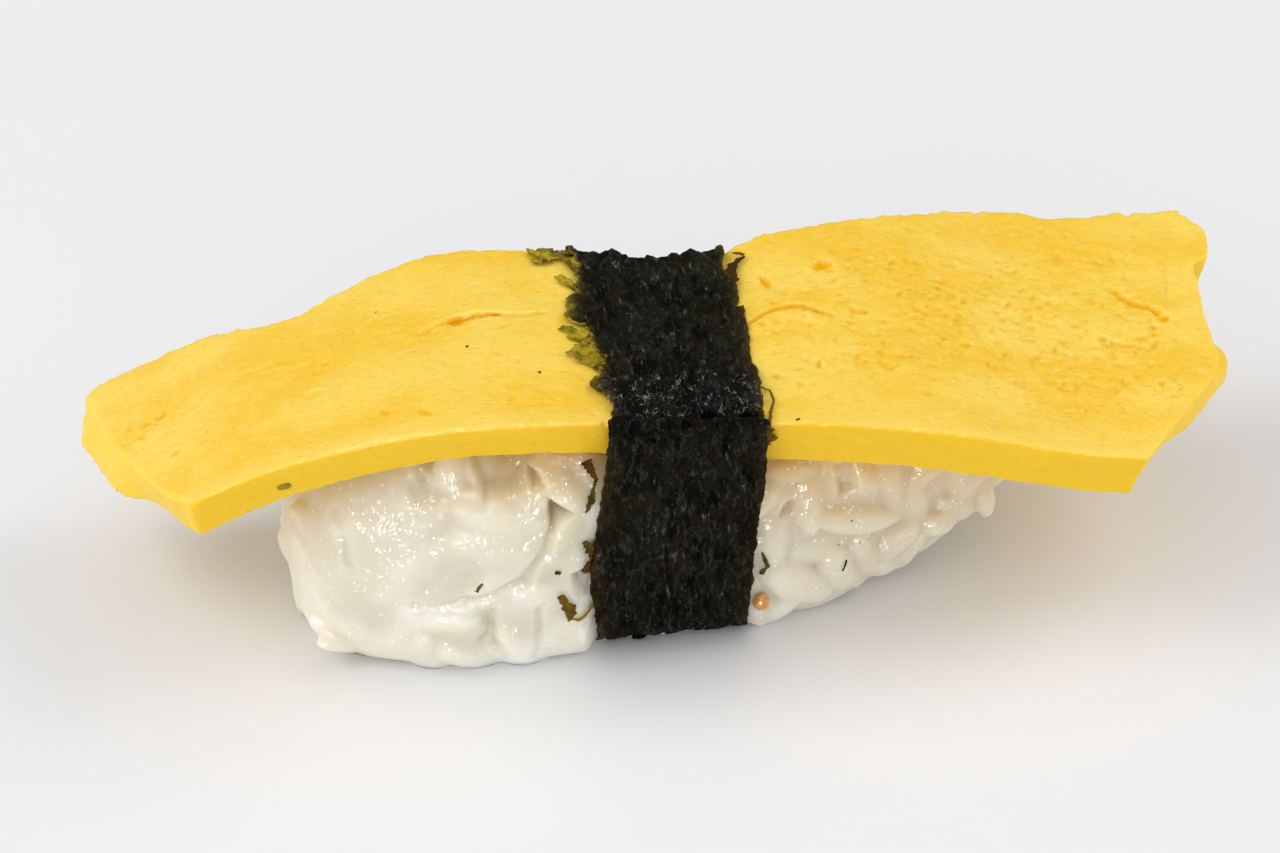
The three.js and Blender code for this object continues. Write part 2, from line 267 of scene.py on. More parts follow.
def setUpCamera():
    bpy.ops.object.camera_add(
        location=[v * mm for v in view["place"]],
        rotation=(math.radians(90 - view["elevation"]), 0, math.radians(view["azimuth"])))
    camera = bpy.context.object
    camera.name = "photoCamera"
    camera.data.lens = view["lens"]
    camera.data.sensor_width = view["sensor"]
    camera.data.clip_start = 0.01
    bpy.context.scene.camera = camera


def aimedLamp(name, place, size, power, colour, glossOnly):
    direction = -Vector(place)
    bpy.ops.object.light_add(type="AREA", location=place,
                             rotation=direction.to_track_quat("-Z", "Y").to_euler())
    lamp = bpy.context.object
    lamp.name = name
    lamp.data.shape = "DISK"
    lamp.data.size = size
    lamp.data.energy = power
    lamp.data.color = colour
    lamp.visible_diffuse = not glossOnly


def setUpStudio():
    bpy.ops.mesh.primitive_plane_add(size=studio["floorSize"])
    floor = bpy.context.object
    floor.name = "floor"
    material, tree, shader = newMaterial("paleFloor")
    place = objectPlace(tree)
    soft = noiseNode(tree, place, 0.01)
    colour = blendColours(tree, spread(tree, soft, 0.35, 0.65), studio["floorShade"], studio["floorColour"])
    tree.links.new(colour, shader.inputs["Base Color"])
    setShader(shader, Roughness=0.55, Specular_IOR_Level=0.3)
    floor.data.materials.append(material)
    world = bpy.data.worlds.new("studioLight")
    bpy.context.scene.world = world
    world.use_nodes = True
    skyTree = world.node_tree
    sky = skyTree.nodes["Background"]
    sky.inputs["Color"].default_value = (*studio["worldColour"], 1)
    # darker behind the piece, so that its top doesn't haze over
    direction = addNode(skyTree, "ShaderNodeTexCoord").outputs["Generated"]
    backwards = addNode(skyTree, "ShaderNodeSeparateXYZ", {"Vector": direction}).outputs["Y"]
    strength = spread(skyTree, backwards, -0.7, 0.8, studio["worldFront"], studio["worldBack"])
    mirrored = addNode(skyTree, "ShaderNodeVectorMath", {0: direction, 1: studio["darkSide"]},
                       operation="DOT_PRODUCT").outputs["Value"]
    dimmer = spread(skyTree, mirrored, 0.72, 0.95, 1.0, studio["darkShare"])
    skyTree.links.new(timesNode(skyTree, strength, dimmer), sky.inputs["Strength"])
    for lamp in studio["lamps"]:
        aimedLamp(*lamp)
    bpy.context.scene.view_settings.view_transform = "Standard"


setUpCamera()
setUpStudio()
print("camera, floor and light ready")

# the omelette slice
omelette = {
    "voxel": 0.23, "melt": 5, "frontEdge": -11.5, "frontSlope": -0.075,
    "creaseGleamWidth": 0.9, "waveSize": 8.0, "waveHeight": 0.45, "grainSize": 1.5, "grainHeight": 0.16,
    "tornSize": 2.3, "tornHeight": 0.72, "crumbSize": 0.8, "crumbHeight": 0.34,
    "lobe": 1.0, "slip": 0.15,
}
# cracks where the roll's layers part: width, depth and the points they run through
omeletteCracks = [
    (0.5, 0.50, [(-16.9, 1.9), (-15.6, 2.5), (-14.3, 2.8), (-12.8, 3.0), (-10.9, 2.6), (-9.1, 2.4),
                 (-8.1, 2.4)]),
    (0.8, 0.75, [(6.0, -0.4), (8.0, 0.6), (9.2, 0.95), (10.2, 0.8), (11.2, 0.2), (12.1, -0.3)]),
    (0.6, 0.50, [(33.7, 4.1), (34.5, 3.0), (36.1, 1.7), (37.2, 0.2)]),
    (0.4, 0.40, [(31.7, -1.2), (32.7, -1.95), (34.0, -2.5), (35.3, -3.0)]),
    (0.4, 0.16, [(-30.1, 2.6), (-28.5, 3.0), (-26.8, 2.75), (-25.1, 2.3)]),
    (0.3, 0.14, [(26.0, 6.5), (27.8, 5.7), (29.1, 5.5), (30.7, 4.7), (32.0, 4.4)]),
    (0.3, 0.20, [(39.1, 10.4), (38.6, 7.5), (37.9, 4.0), (37.4, 2.2)]),
    (0.3, 0.12, [(-11.2, 5.6), (-8.3, 7.0)]),
    (0.3, 0.20, [(29.9, 11.7), (30.6, 10.6)]),
    (0.3, 0.15, [(7.6, -1.6), (9.2, -1.8)]),
    (0.3, 0.12, [(24.2, -9.6), (26.0, -9.7)]),
    (0.3, 0.10, [(31.6, -7.7), (33.4, -8.0)]),
]
# single holes: x, y, length, width, depth, turn in degrees
omeletteHoles = [
    (12.6, 6.0, 1.9, 1.3, 0.55, 25), (8.15, 4.5, 1.9, 0.7, 0.45, 100), (-16.8, 1.8, 0.9, 0.6, 0.4, 0),
    (34.0, 4.0, 0.9, 0.5, 0.4, -40), (36.9, 0.5, 1.3, 0.9, 0.45, -35), (31.9, -1.4, 0.9, 0.6, 0.4, -30),
    (-38.1, 3.5, 0.8, 0.5, 0.3, 40), (-37.4, 1.7, 0.9, 0.6, 0.3, -40), (-36.9, 3.0, 0.9, 0.7, 0.35, 30),
    (-35.7, 3.1, 1.0, 0.8, 0.4, 60), (-34.9, 0.4, 0.4, 0.3, 0.25, 0), (-35.1, -2.3, 0.8, 0.5, 0.35, 0),
    (-33.0, -2.6, 0.8, 0.5, 0.3, 0), (-32.7, -1.4, 0.5, 0.3, 0.2, 20), (-24.6, 0.3, 1.1, 0.8, 0.25, 40),
    (-24.0, 1.1, 0.9, 0.6, 0.25, 30), (-25.2, -2.2, 1.7, 0.8, 0.22, 20), (-21.7, 2.6, 1.0, 0.5, 0.15, 0),
    (-20.5, -6.5, 1.3, 0.7, 0.35, -35), (-17.9, -7.6, 1.3, 0.7, 0.35, -35), (-19.7, -5.1, 0.7, 0.3, 0.2, 0),
    (-15.2, -7.6, 0.6, 0.3, 0.2, 20), (-12.0, -2.1, 1.1, 0.4, 0.25, -35), (-11.4, -5.8, 1.7, 1.0, 0.18, 10),
    (-11.8, -7.4, 0.7, 0.5, 0.22, -30), (-9.5, -6.8, 0.7, 0.4, 0.2, 0), (-8.7, -1.6, 0.7, 0.3, 0.15, 0),
    (-8.0, 0.7, 0.6, 0.3, 0.2, -20), (7.4, -4.0, 0.8, 0.8, 0.2, 0), (6.9, -6.6, 0.7, 0.8, 0.3, 40),
    (8.7, -6.1, 0.8, 0.5, 0.3, 20), (10.2, -5.7, 0.5, 1.0, 0.35, -10), (13.2, -5.6, 1.3, 0.5, 0.25, 15),
    (8.5, -7.9, 0.5, 0.4, 0.2, 0), (11.8, -6.4, 1.1, 1.0, 0.16, 0), (10.4, -9.2, 0.9, 0.4, 0.25, -40),
    (14.5, 0.2, 0.6, 0.5, 0.3, 0), (19.9, 10.7, 1.1, 0.5, 0.25, -30), (21.3, 8.9, 0.9, 0.4, 0.2, -10),
    (16.4, -4.7, 1.0, 0.6, 0.3, -20), (17.7, -8.6, 1.0, 0.5, 0.25, 10), (17.7, 0.4, 0.5, 0.4, 0.25, 0),
    (19.2, 0.5, 0.8, 0.5, 0.25, 30), (22.1, 3.9, 0.6, 0.5, 0.2, 0), (17.1, 3.3, 0.6, 0.4, 0.2, 0),
    (14.1, 4.5, 0.8, 0.3, 0.15, 0), (10.4, 2.8, 0.6, 0.8, 0.15, -40), (30.8, 8.3, 1.0, 0.5, 0.3, -40),
    (27.3, 8.1, 0.4, 0.3, 0.2, 0), (25.2, 6.7, 0.6, 0.4, 0.2, -30), (26.9, 0.0, 0.8, 0.5, 0.25, 10),
    (26.2, -1.1, 0.5, 0.8, 0.2, 0), (26.6, -3.4, 0.9, 0.6, 0.3, 35), (27.0, -4.1, 0.9, 0.5, 0.2, 20),
    (29.5, 2.7, 0.6, 0.5, 0.2, 0), (31.4, 2.0, 0.9, 0.4, 0.2, -30), (24.0, -5.1, 0.9, 0.5, 0.25, -15),
    (36.1, -6.2, 0.5, 0.5, 0.2, 0), (31.1, -3.3, 0.8, 0.4, 0.2, 50),
]
# flecks scattered by region: how many, x range, y range, longest, deepest
omeletteFlecks = [
    (330, (13, 36), (-7, 8), 1.0, 0.34), (70, (7, 14), (-8, 6), 0.8, 0.26),
    (80, (-40, -8), (-7, 7), 0.6, 0.20), (60, (14, 39), (7, 12), 0.7, 0.22),
    (40, (28, 38), (-9, -2), 0.8, 0.24),
]


def runPlaces(points, stepsEach=8):
    # points spread along a line through the given ones
    spots = []
    for (x0, y0), (x1, y1) in zip(points, points[1:]):
        for step in range(stepsEach):
            share = step / stepsEach
            spots.append((x0 + (x1 - x0) * share, y0 + (y1 - y0) * share))
    return spots + [points[-1]]


def pressIn(sunk, x, y, hollow, wobble=0.0, steep=0.8):
    # deepens sunk inside an oval hollow: its middle, length, width, depth and turn in degrees
    cx, cy, length, width, depth, turn = hollow
    reach = max(length, width) * 0.8
    near = (np.abs(x - cx) < reach) & (np.abs(y - cy) < reach)
    if not near.any():
        return
    dx, dy = x[near] - cx, y[near] - cy
    c, s = math.cos(math.radians(turn)), math.sin(math.radians(turn))
    along = (dx * c + dy * s) / (length / 2)
    across = (dy * c - dx * s) / (width / 2)
    inside = np.clip(1 - along**2 - across**2 + (wobble[near] if np.ndim(wobble) else 0), 0, 1)
    sunk[near] = np.maximum(sunk[near], depth * inside**steep)


def pressLine(sunk, x, y, line, draw, wobble=0.0):
    # a crack or crease: overlapping hollows along a line, tapered at its ends
    width, depth, points = line
    spots = runPlaces(points)
    for index, (cx, cy) in enumerate(spots):
        taper = 0.45 + 0.55 * math.sin(math.pi * (index + 1) / (len(spots) + 1))
        uneven = taper * (0.8 + 0.4 * draw.random())
        pressIn(sunk, x, y, (cx, cy, width * 1.2, width * uneven, depth * uneven, 0), wobble)


def hollowsOf(piece):
    # how deep each point of the top lies in a crack, hole or fleck
    x, y = placesOf(piece)[:, :2].T
    wobble = 0.22 * np.sin(5.3 * x + 2.1 * y) * np.sin(4.1 * y - 1.7 * x + 0.6)
    sunk = np.zeros(len(x))
    draw = random.Random(11)
    for crack in omeletteCracks:
        pressLine(sunk, x, y, crack, draw, wobble)
    for hole in omeletteHoles:
        pressIn(sunk, x, y, hole, wobble)
    for count, xRange, yRange, longest, deepest in omeletteFlecks:
        for _ in range(count):
            length = longest * (0.4 + 0.6 * draw.random())
            middleX, middleY = draw.uniform(*xRange), draw.uniform(*yRange)
            width, depth = length * draw.uniform(0.35, 0.7), deepest * draw.uniform(0.4, 1)
            pressIn(sunk, x, y, (middleX, middleY, length, width, depth, draw.gauss(-8, 30)), wobble)
    return sunk


def liftFlap(piece, sunk):
    # the skin below the crack beside the band stands up a little
    places = placesOf(piece)
    x, y = places[:, 0], places[:, 1]
    crackY = np.interp(x, [6.0, 8.0, 9.2, 10.2, 11.2, 12.1], [-0.4, 0.6, 0.95, 0.8, 0.2, -0.3])
    below = np.exp(-(((crackY - 0.85 - y) / 0.75) ** 2)) * ease(x, 5.5, 7.5) * (1 - ease(x, 11, 12.8))
    return 0.35 * below * (sunk < 0.15)


def omeletteMaterial():
    material, tree, shader = newMaterial("moistOmelette")
    place = objectPlace(tree, (0.55, 1, 1))
    layered = noiseNode(tree, place, 0.16, 2.0)
    mottle = noiseNode(tree, objectPlace(tree), 0.9, 4.0, 0.6)
    flecks = noiseNode(tree, objectPlace(tree, (0.8, 1, 1)), 2.0, 3.0, 0.6)
    yolk = blendColours(tree, spread(tree, layered, 0.38, 0.62), (0.920, 0.565, 0.038), (0.960, 0.650, 0.098))
    yolk = blendColours(tree, spread(tree, mottle, 0.45, 0.75, 0, 0.45), yolk, (0.96, 0.69, 0.13))
    yolk = blendColours(tree, spread(tree, flecks, 0.56, 0.72, 0, 0.5), yolk, (0.97, 0.74, 0.20))
    yolk = blendColours(tree, spread(tree, flecks, 0.44, 0.30, 0, 0.5), yolk, (0.90, 0.53, 0.010))
    # painted shade on the steep sides, a deeper, less blue yellow than the top; a painted highlight along the
    # crease at the top's front edge, a paler yellow
    yolk = tintWhere(tree, yolk, ("sideShade", 1.0, (0.95, 0.585, 0.013)), ("crease", 0.6, (0.93, 0.68, 0.13)),
                     ("torn", 0.35, (0.95, 0.70, 0.18)), ("pores", 1.0, (0.93, 0.50, 0.0)))
    tree.links.new(yolk, shader.inputs["Base Color"])
    sheen = noiseNode(tree, objectPlace(tree), 0.6, 3.0)
    tree.links.new(spread(tree, sheen, 0.3, 0.7, 0.32, 0.52), shader.inputs["Roughness"])
    dry = spread(tree, attributeShare(tree, "pores"), 0.0, 1.0, 0.30, 0.05)
    tree.links.new(dry, shader.inputs["Specular IOR Level"])
    setShader(shader, Subsurface_Weight=0.7, Subsurface_Radius=(1.0, 0.7, 0.12),
              Subsurface_Scale=0.7 * mm, IOR=1.4)
    crumb = noiseNode(tree, objectPlace(tree, (0.7, 1, 1)), 2.6, 3.0, 0.6)
    pits = addNode(tree, "ShaderNodeTexVoronoi", {"Vector": objectPlace(tree, (0.6, 1, 1)), "Scale": 1.6})
    pitDepth = spread(tree, pits.outputs["Distance"], 0.05, 0.30)
    bumpFrom(tree, shader, (pitDepth, 0.05), (crumb, 0.09))
    return material


def shapeRightEnd(places):
    # the lobe at the far corner, a nick beside it, and the lower layer that shows under the slanted cut
    x, y, z = places.T
    lobe = ease(y, 6.3, 6.9) * (1 - ease(y, 9.3, 12.5)) * ease(x, 38.2, 40.2)
    nick = np.exp(-(((x - 36.9) / 0.35) ** 2)) * ease(y, 10.8, 12.2)
    tip, corner = np.array((39.7, -4.6)), np.array((33.3, -12.2))
    along = (corner - tip) / np.linalg.norm(corner - tip)
    outX, outY = -along[1], along[0]
    share = ((x - tip[0]) * along[0] + (y - tip[1]) * along[1]) / np.linalg.norm(corner - tip)
    beyond = (x - tip[0]) * outX + (y - tip[1]) * outY
    under = 16.0 - 0.4 * share - z
    layer = ease(under, 0.5, 1.1) * (1 - ease(under, 2.3, 3.2)) * ease(share, -0.45, -0.1)
    layer *= 1 - ease(share, 0.45, 0.9)
    slip = np.clip(omelette["slip"] - beyond, 0, 3) * layer * ease(beyond, -3.0, -2.0)
    slip *= beyond < omelette["slip"]
    places[:, 0] += omelette["lobe"] * lobe + outX * slip
    places[:, 1] += outY * slip - 0.6 * nick
    return places


def makeOmelette():
    piece = copyOfNode("omelette_slice", "omelette")
    editAll(piece)
    bpy.ops.mesh.tris_convert_to_quads(face_threshold=math.radians(50), shape_threshold=math.radians(50))
    bpy.ops.mesh.select_all(action="DESELECT")
    bpy.ops.mesh.select_mode(type="EDGE")
    bpy.ops.mesh.edges_select_sharp(sharpness=math.radians(40))
    bpy.ops.transform.edge_crease(value=1)
    applyModifier(piece, "SUBSURF", levels=2, render_levels=2)
    applyModifier(piece, "REMESH", mode="VOXEL", voxel_size=omelette["voxel"] * mm)
    applyModifier(piece, "SMOOTH", factor=0.5, iterations=omelette["melt"])
    normals, places = normalsOf(piece), placesOf(piece)
    topside = ease(normals[:, 2], 0.45, 0.85)
    backside = ease(normals[:, 1], 0.15, 0.7)
    ends = ease(np.abs(normals[:, 0]), 0.3, 0.8)
    torn = np.clip(backside + 0.5 * ends, 0, 1)
    weigh(piece, "torn", torn)
    roughen(piece, cloudTexture("omeletteWaves", omelette["waveSize"]), omelette["waveHeight"])
    roughen(piece, cloudTexture("omeletteGrain", omelette["grainSize"], depth=3), omelette["grainHeight"])
    roughen(piece, cloudTexture("omeletteTear", omelette["tornSize"], depth=3),
            omelette["tornHeight"], "torn")
    spots = placesOf(piece)
    rightHalf = ease(spots[:, 0], 5, 13) * (1 - ease(np.abs(spots[:, 1] - 0.5), 6.5, 10.0))
    weigh(piece, "crumbly", topside * np.clip(0.30 + 0.7 * rightHalf, 0, 1))
    roughen(piece, cloudTexture("omeletteCrumbs", omelette["crumbSize"], depth=3),
            omelette["crumbHeight"], "crumbly")
    movePlaces(piece, shapeRightEnd(placesOf(piece)))
    sunk = hollowsOf(piece) * topside
    lift = liftFlap(piece, sunk) * topside
    movePlaces(piece, placesOf(piece) + normals * (lift - sunk)[:, None])
    fromEdge = places[:, 1] - omelette["frontEdge"] - omelette["frontSlope"] * places[:, 0]
    piece.vertex_groups.clear()
    paint(piece, "pores", ease(sunk, 0.06, 0.36))
    # painted highlight: a paler line just inside the top's front edge
    paint(piece, "crease", topside * np.exp(-((fromEdge - 0.7) / omelette["creaseGleamWidth"]) ** 2))
    # painted shade share: steep faces take the sides' deeper yellow
    paint(piece, "sideShade", 1 - ease(normals[:, 2], 0.2, 0.8))
    paint(piece, "torn", torn)
    return finishPiece(piece, omeletteMaterial(), "omelette_slice")


omelettePiece = makeOmelette()

# the seaweed band
seaweed = {
    "tighter": 0.22,  # the sheet lies this far inside the band's outer face
    "cuts": 4, "thickness": 0.12,
    "keep": 0.59,  # share of the wrap's faces that are kept
    # size and height of the crumples, and how far they may go inwards
    "folds": ((3.2, 0.80, 3), (1.5, 0.50, 3), (0.75, 0.26, 3)), "inwards": 0.10,
    "offEgg": 0.18,  # how far the sheets keep off the slice
    "backRise": ((-6, 0.10), (-3, 0.30), (0, 0.55), (3, 0.60), (5.5, 0.20)),
    "fibreSize": 0.35, "fibreHeight": 0.07,
    "edgeReach": 1.3, "edgeWander": 0.22, "edgeNicks": 0.16, "tornLeft": 0.25,
    "wetHeight": 0.52,
    "lapProud": 0.28, "lapTop": 0.60,
}


# the top's edges: y and x from front to back
leftOutline = [(-11.4, -5.15), (-9.0, -5.25), (-7.7, -5.6), (-6.7, -5.9), (-5.6, -5.55), (-4.9, -5.1),
               (-3.6, -5.15), (-1.6, -5.5), (0.2, -5.6), (0.5, -6.3), (1.2, -6.6), (2.2, -6.55),
               (3.6, -6.5), (3.9, -5.6), (5.2, -5.5),
               (6.6, -5.1), (7.5, -5.0), (9.0, -5.3), (9.7, -5.5)]
rightOutline = [(-12.2, 5.3), (-10.5, 5.5), (-8.2, 5.6), (-3.4, 5.75), (-1.4, 5.9), (1.5, 6.1),
                (1.7, 5.75), (3.5, 6.0),
                (5.0, 5.9), (5.7, 5.5), (6.3, 5.2), (7.2, 5.4), (8.0, 5.8)]


def warpedPlace(tree, place, scale, reach):
    wobble = addNode(tree, "ShaderNodeTexNoise", {"Vector": place, "Scale": scale, "Detail": 2.0})
    return addNode(tree, "ShaderNodeVectorMath", {
        0: wobble.outputs["Color"], 1: (reach, reach, reach), 2: place}, operation="MULTIPLY_ADD").outputs[0]


def leafShades(tree, place, scale):
    # flakes of leaf pressed flat over one another, each with its own numbers
    flakes = addNode(tree, "ShaderNodeTexVoronoi", {"Vector": place, "Scale": scale, "Randomness": 1.0})
    return addNode(tree, "ShaderNodeSeparateColor", {0: flakes.outputs["Color"]}).outputs


def seaweedMaterial(name):
    material, tree, shader = newMaterial(name)
    place = objectPlace(tree)
    crooked = warpedPlace(tree, objectPlace(tree, (1.5, 0.7, 0.7)), 1.0, 1.1)
    large, small = leafShades(tree, crooked, 0.75), leafShades(tree, crooked, 1.9)
    colour = blendColours(tree, large[0], (0.0030, 0.0027, 0.0018), (0.0105, 0.0092, 0.0046))
    colour = blendColours(tree, spread(tree, large[1], 0.70, 0.85, 0, 0.7), colour, (0.0115, 0.0135, 0.0065))
    colour = blendColours(tree, spread(tree, large[2], 0.80, 0.92, 0, 0.5), colour, (0.021, 0.012, 0.006))
    colour = blendColours(tree, spread(tree, small[0], 0.60, 0.95, 0, 0.35), colour, (0.021, 0.021, 0.010))
    # painted highlights: thin light lines along folds and torn fibres, standing in for their glints
    streaks = noiseNode(tree, objectPlace(tree, (1.0, 0.8, 0.8)), 1.7, 3.0, 0.6)
    glintLines = addNode(tree, "ShaderNodeMath", {0: streaks, 1: 0.5, 2: 0.015}, operation="COMPARE").outputs[0]
    glintLines = timesNode(tree, glintLines, spread(tree, noiseNode(tree, place, 1.4, 2.0), 0.50, 0.60))
    colour = blendColours(tree, timesNode(tree, glintLines, 0.8), colour, (0.052, 0.050, 0.032))
    wet = attributeShare(tree, "wet")
    colour = blendColours(tree, timesNode(tree, wet, 0.8), colour, (0.0022, 0.0016, 0.0009))
    # painted glints: bright specks where the light lines cross the wet zone
    glints = timesNode(tree, timesNode(tree, glintLines, wet), 0.8)
    colour = blendColours(tree, glints, colour, (0.36, 0.35, 0.29))
    # painted shadow: the crevice above the lap's top edge painted near black
    colour = blendColours(tree, attributeShare(tree, "creviceShadow"), colour, (0.0008, 0.0007, 0.0006))
    colour = blendColours(tree, attributeShare(tree, "brown"), colour, (0.16, 0.075, 0.010))
    mottled = blendColours(tree, spread(tree, noiseNode(tree, place, 1.5, 3.0), 0.38, 0.62),
                           (0.24, 0.19, 0.012), (0.62, 0.45, 0.030))
    colour = blendColours(tree, attributeShare(tree, "thin"), colour, mottled)
    tree.links.new(colour, shader.inputs["Base Color"])
    gloss = spread(tree, noiseNode(tree, objectPlace(tree, (2.2, 0.7, 0.7)), 1.5, 4.0, 0.65), 0.53, 0.62)
    sheen = blendNumbers(tree, gloss, 0.50, 0.20)
    wetSheen = blendNumbers(tree, wet, sheen, 0.12)
    tree.links.new(wetSheen, shader.inputs["Roughness"])
    shine = blendNumbers(tree, gloss, 0.015, 0.20)
    wetShine = blendNumbers(tree, wet, shine, 0.07)
    # no sheen in the painted crevice shadow
    creviceShadow = attributeShare(tree, "creviceShadow")
    dull = blendNumbers(tree, creviceShadow, wetShine, 0.01)
    tree.links.new(dull, shader.inputs["Specular IOR Level"])
    wrinkles = noiseNode(tree, objectPlace(tree, (1.5, 0.55, 0.55)), 2.0, 3.0, 0.65)
    fibre = noiseNode(tree, objectPlace(tree, (1.6, 0.7, 0.7)), 5.0, 3.0, 0.7)
    bumpFrom(tree, shader, (wrinkles, 0.25), (large[0], 0.05), (small[1], 0.04), (fibre, 0.05))
    return material


def bandOutside(piece):
    # marks the faces of the band's outer side
    ringMiddle = Vector((0, 0, 10.5 * mm))
    for face in piece.data.polygons:
        away = face.center - ringMiddle
        away.x = 0
        face.select = face.normal.dot(away.normalized()) > 0.25


def sheetFromBand(name, keepFace):
    # the band's outer side, or the part of it that keepFace allows, as a sheet of small squares
    piece = copyOfNode("seaweed_band", name)
    onlySelect(piece)
    bpy.ops.object.mode_set(mode="EDIT")
    bpy.ops.mesh.select_mode(type="FACE")
    bpy.ops.mesh.select_all(action="DESELECT")
    bpy.ops.object.mode_set(mode="OBJECT")
    bandOutside(piece)
    for face in piece.data.polygons:
        face.select = not (face.select and keepFace(face.center / mm, face.normal))
    bpy.ops.object.mode_set(mode="EDIT")
    bpy.ops.mesh.delete(type="FACE")
    bpy.ops.mesh.select_all(action="SELECT")
    bpy.ops.mesh.tris_convert_to_quads(face_threshold=math.radians(60), shape_threshold=math.radians(60))
    bpy.ops.transform.shrink_fatten(value=-seaweed["tighter"] * mm)
    bpy.ops.mesh.subdivide(number_cuts=1)
    applyModifier(piece, "SUBSURF", levels=1, render_levels=1)
    return piece


def rimDistance(piece):
    # how far each point is from the sheet's open edge, and where along X that edge is
    onlySelect(piece)
    bpy.ops.object.mode_set(mode="EDIT")
    bpy.ops.mesh.select_mode(type="EDGE")
    bpy.ops.mesh.select_all(action="DESELECT")
    bpy.ops.mesh.select_non_manifold(extend=False)
    bpy.ops.object.mode_set(mode="OBJECT")
    rim = [p.co / mm for p in piece.data.vertices if p.select]
    tree = KDTree(len(rim))
    for index, co in enumerate(rim):
        tree.insert(co, index)
    tree.balance()
    found = [tree.find(p.co / mm) for p in piece.data.vertices]
    return np.array([f[2] for f in found]), np.array([f[0].x for f in found])


def foldHeights(places, size, lines, seed):
    # from 0 to 1: flat facets that meet in folds, most of which run along the band
    draw = random.Random(seed)
    bend = noiseAt(places, size * 1.8, seed) * 0.55
    total = np.zeros(len(places))
    for _ in range(lines):
        angle = draw.gauss(0, 0.6)
        across = np.array((math.cos(angle), math.sin(angle), math.sin(angle)))
        turns = places @ across / (size * draw.uniform(0.7, 1.6))
        turns = turns + bend * draw.choice((-1, 1)) + draw.random()
        total += 2 * np.abs(turns - np.round(turns))
    return total / lines


def crumple(piece, rim, wet, calm, seed):
    normals, places = normalsOf(piece), placesOf(piece)
    heights = np.zeros(len(places))
    strength = (0.75 + 0.6 * noiseAt(places, 5.0, seed + 7, 1)) * (0.2 + 0.8 * ease(places[:, 2], 0.4, 2.2))
    backEdge = 0.6 * ease(places[:, 1], 8.0, 9.5) * ease(1 - rim, 0, 0.8)
    strength *= calm * (0.5 + 0.5 * ease(rim, 0.1, 1.0)) * (1 - backEdge)
    for index, (size, height, lines) in enumerate(seaweed["folds"]):
        heights += (foldHeights(places, size, lines, seed + index) - 0.5) * 2 * height * strength
    if wet.max() > 0:
        heights += wet * seaweed["wetHeight"] * noiseAt(places, 0.65, seed + 3, 3)
    heights = np.maximum(heights, -seaweed["inwards"] - 0.15 * np.tanh(-heights / 0.3))
    movePlaces(piece, places + normals * heights[:, None])
    roughen(piece, cloudTexture(piece.name + "Fibres", seaweed["fibreSize"], depth=3), seaweed["fibreHeight"])


def keepOffEgg(piece):
    # pushes the sheet out where the slice would show through it
    egg = BVHTree.FromObject(omelettePiece, bpy.context.evaluated_depsgraph_get())
    places = placesOf(piece)
    for index in np.where(places[:, 2] > 13.5)[0]:
        point = Vector(places[index]) * mm
        spot, out, _, away = egg.find_nearest(point)
        short = seaweed["offEgg"] - (point - spot).dot(out) / mm
        if away < 1.5 * mm and short > 0:
            places[index] += np.array(out) * short
    movePlaces(piece, places)


def followOutline(piece, rim, rimX):
    # brings the top's side edges to the outlines that the photo shows
    places = placesOf(piece)
    near = np.clip(1 - rim / seaweed["edgeReach"], 0, 1) * ease(places[:, 2], 18.5, 19.8)
    for side, outline in ((-1, leftOutline), (1, rightOutline)):
        y, x = zip(*outline)
        here = near * (places[:, 0] * side > 0)
        places[:, 0] += (np.interp(places[:, 1], y, x) - rimX) * here
    movePlaces(piece, places)


def tearEdges(piece, rim, seed, torn):
    places = placesOf(piece)
    near = np.clip(1 - rim / seaweed["edgeReach"], 0, 1)
    index = np.where(near > 0)[0]
    spots = places[index]
    leftTop = ease(-spots[:, 0], 2, 5) * ease(spots[:, 2], 17.5, 20)
    shift = seaweed["edgeWander"] * noiseAt(spots, 3.0, seed, 1)
    shift += (seaweed["edgeNicks"] + torn * leftTop) * noiseAt(spots, 0.8, seed + 1, 4)
    places[index, 0] += shift * near[index]
    movePlaces(piece, places)


def closeSheet(piece):
    applyModifier(piece, "SOLIDIFY", thickness=seaweed["thickness"] * mm, offset=-1)
    places = placesOf(piece)
    places[:, 2] = np.maximum(places[:, 2], 0.0)
    movePlaces(piece, places)


def finerSheet(piece):
    editAll(piece)
    bpy.ops.mesh.subdivide(number_cuts=seaweed["cuts"])
    bpy.ops.object.mode_set(mode="OBJECT")


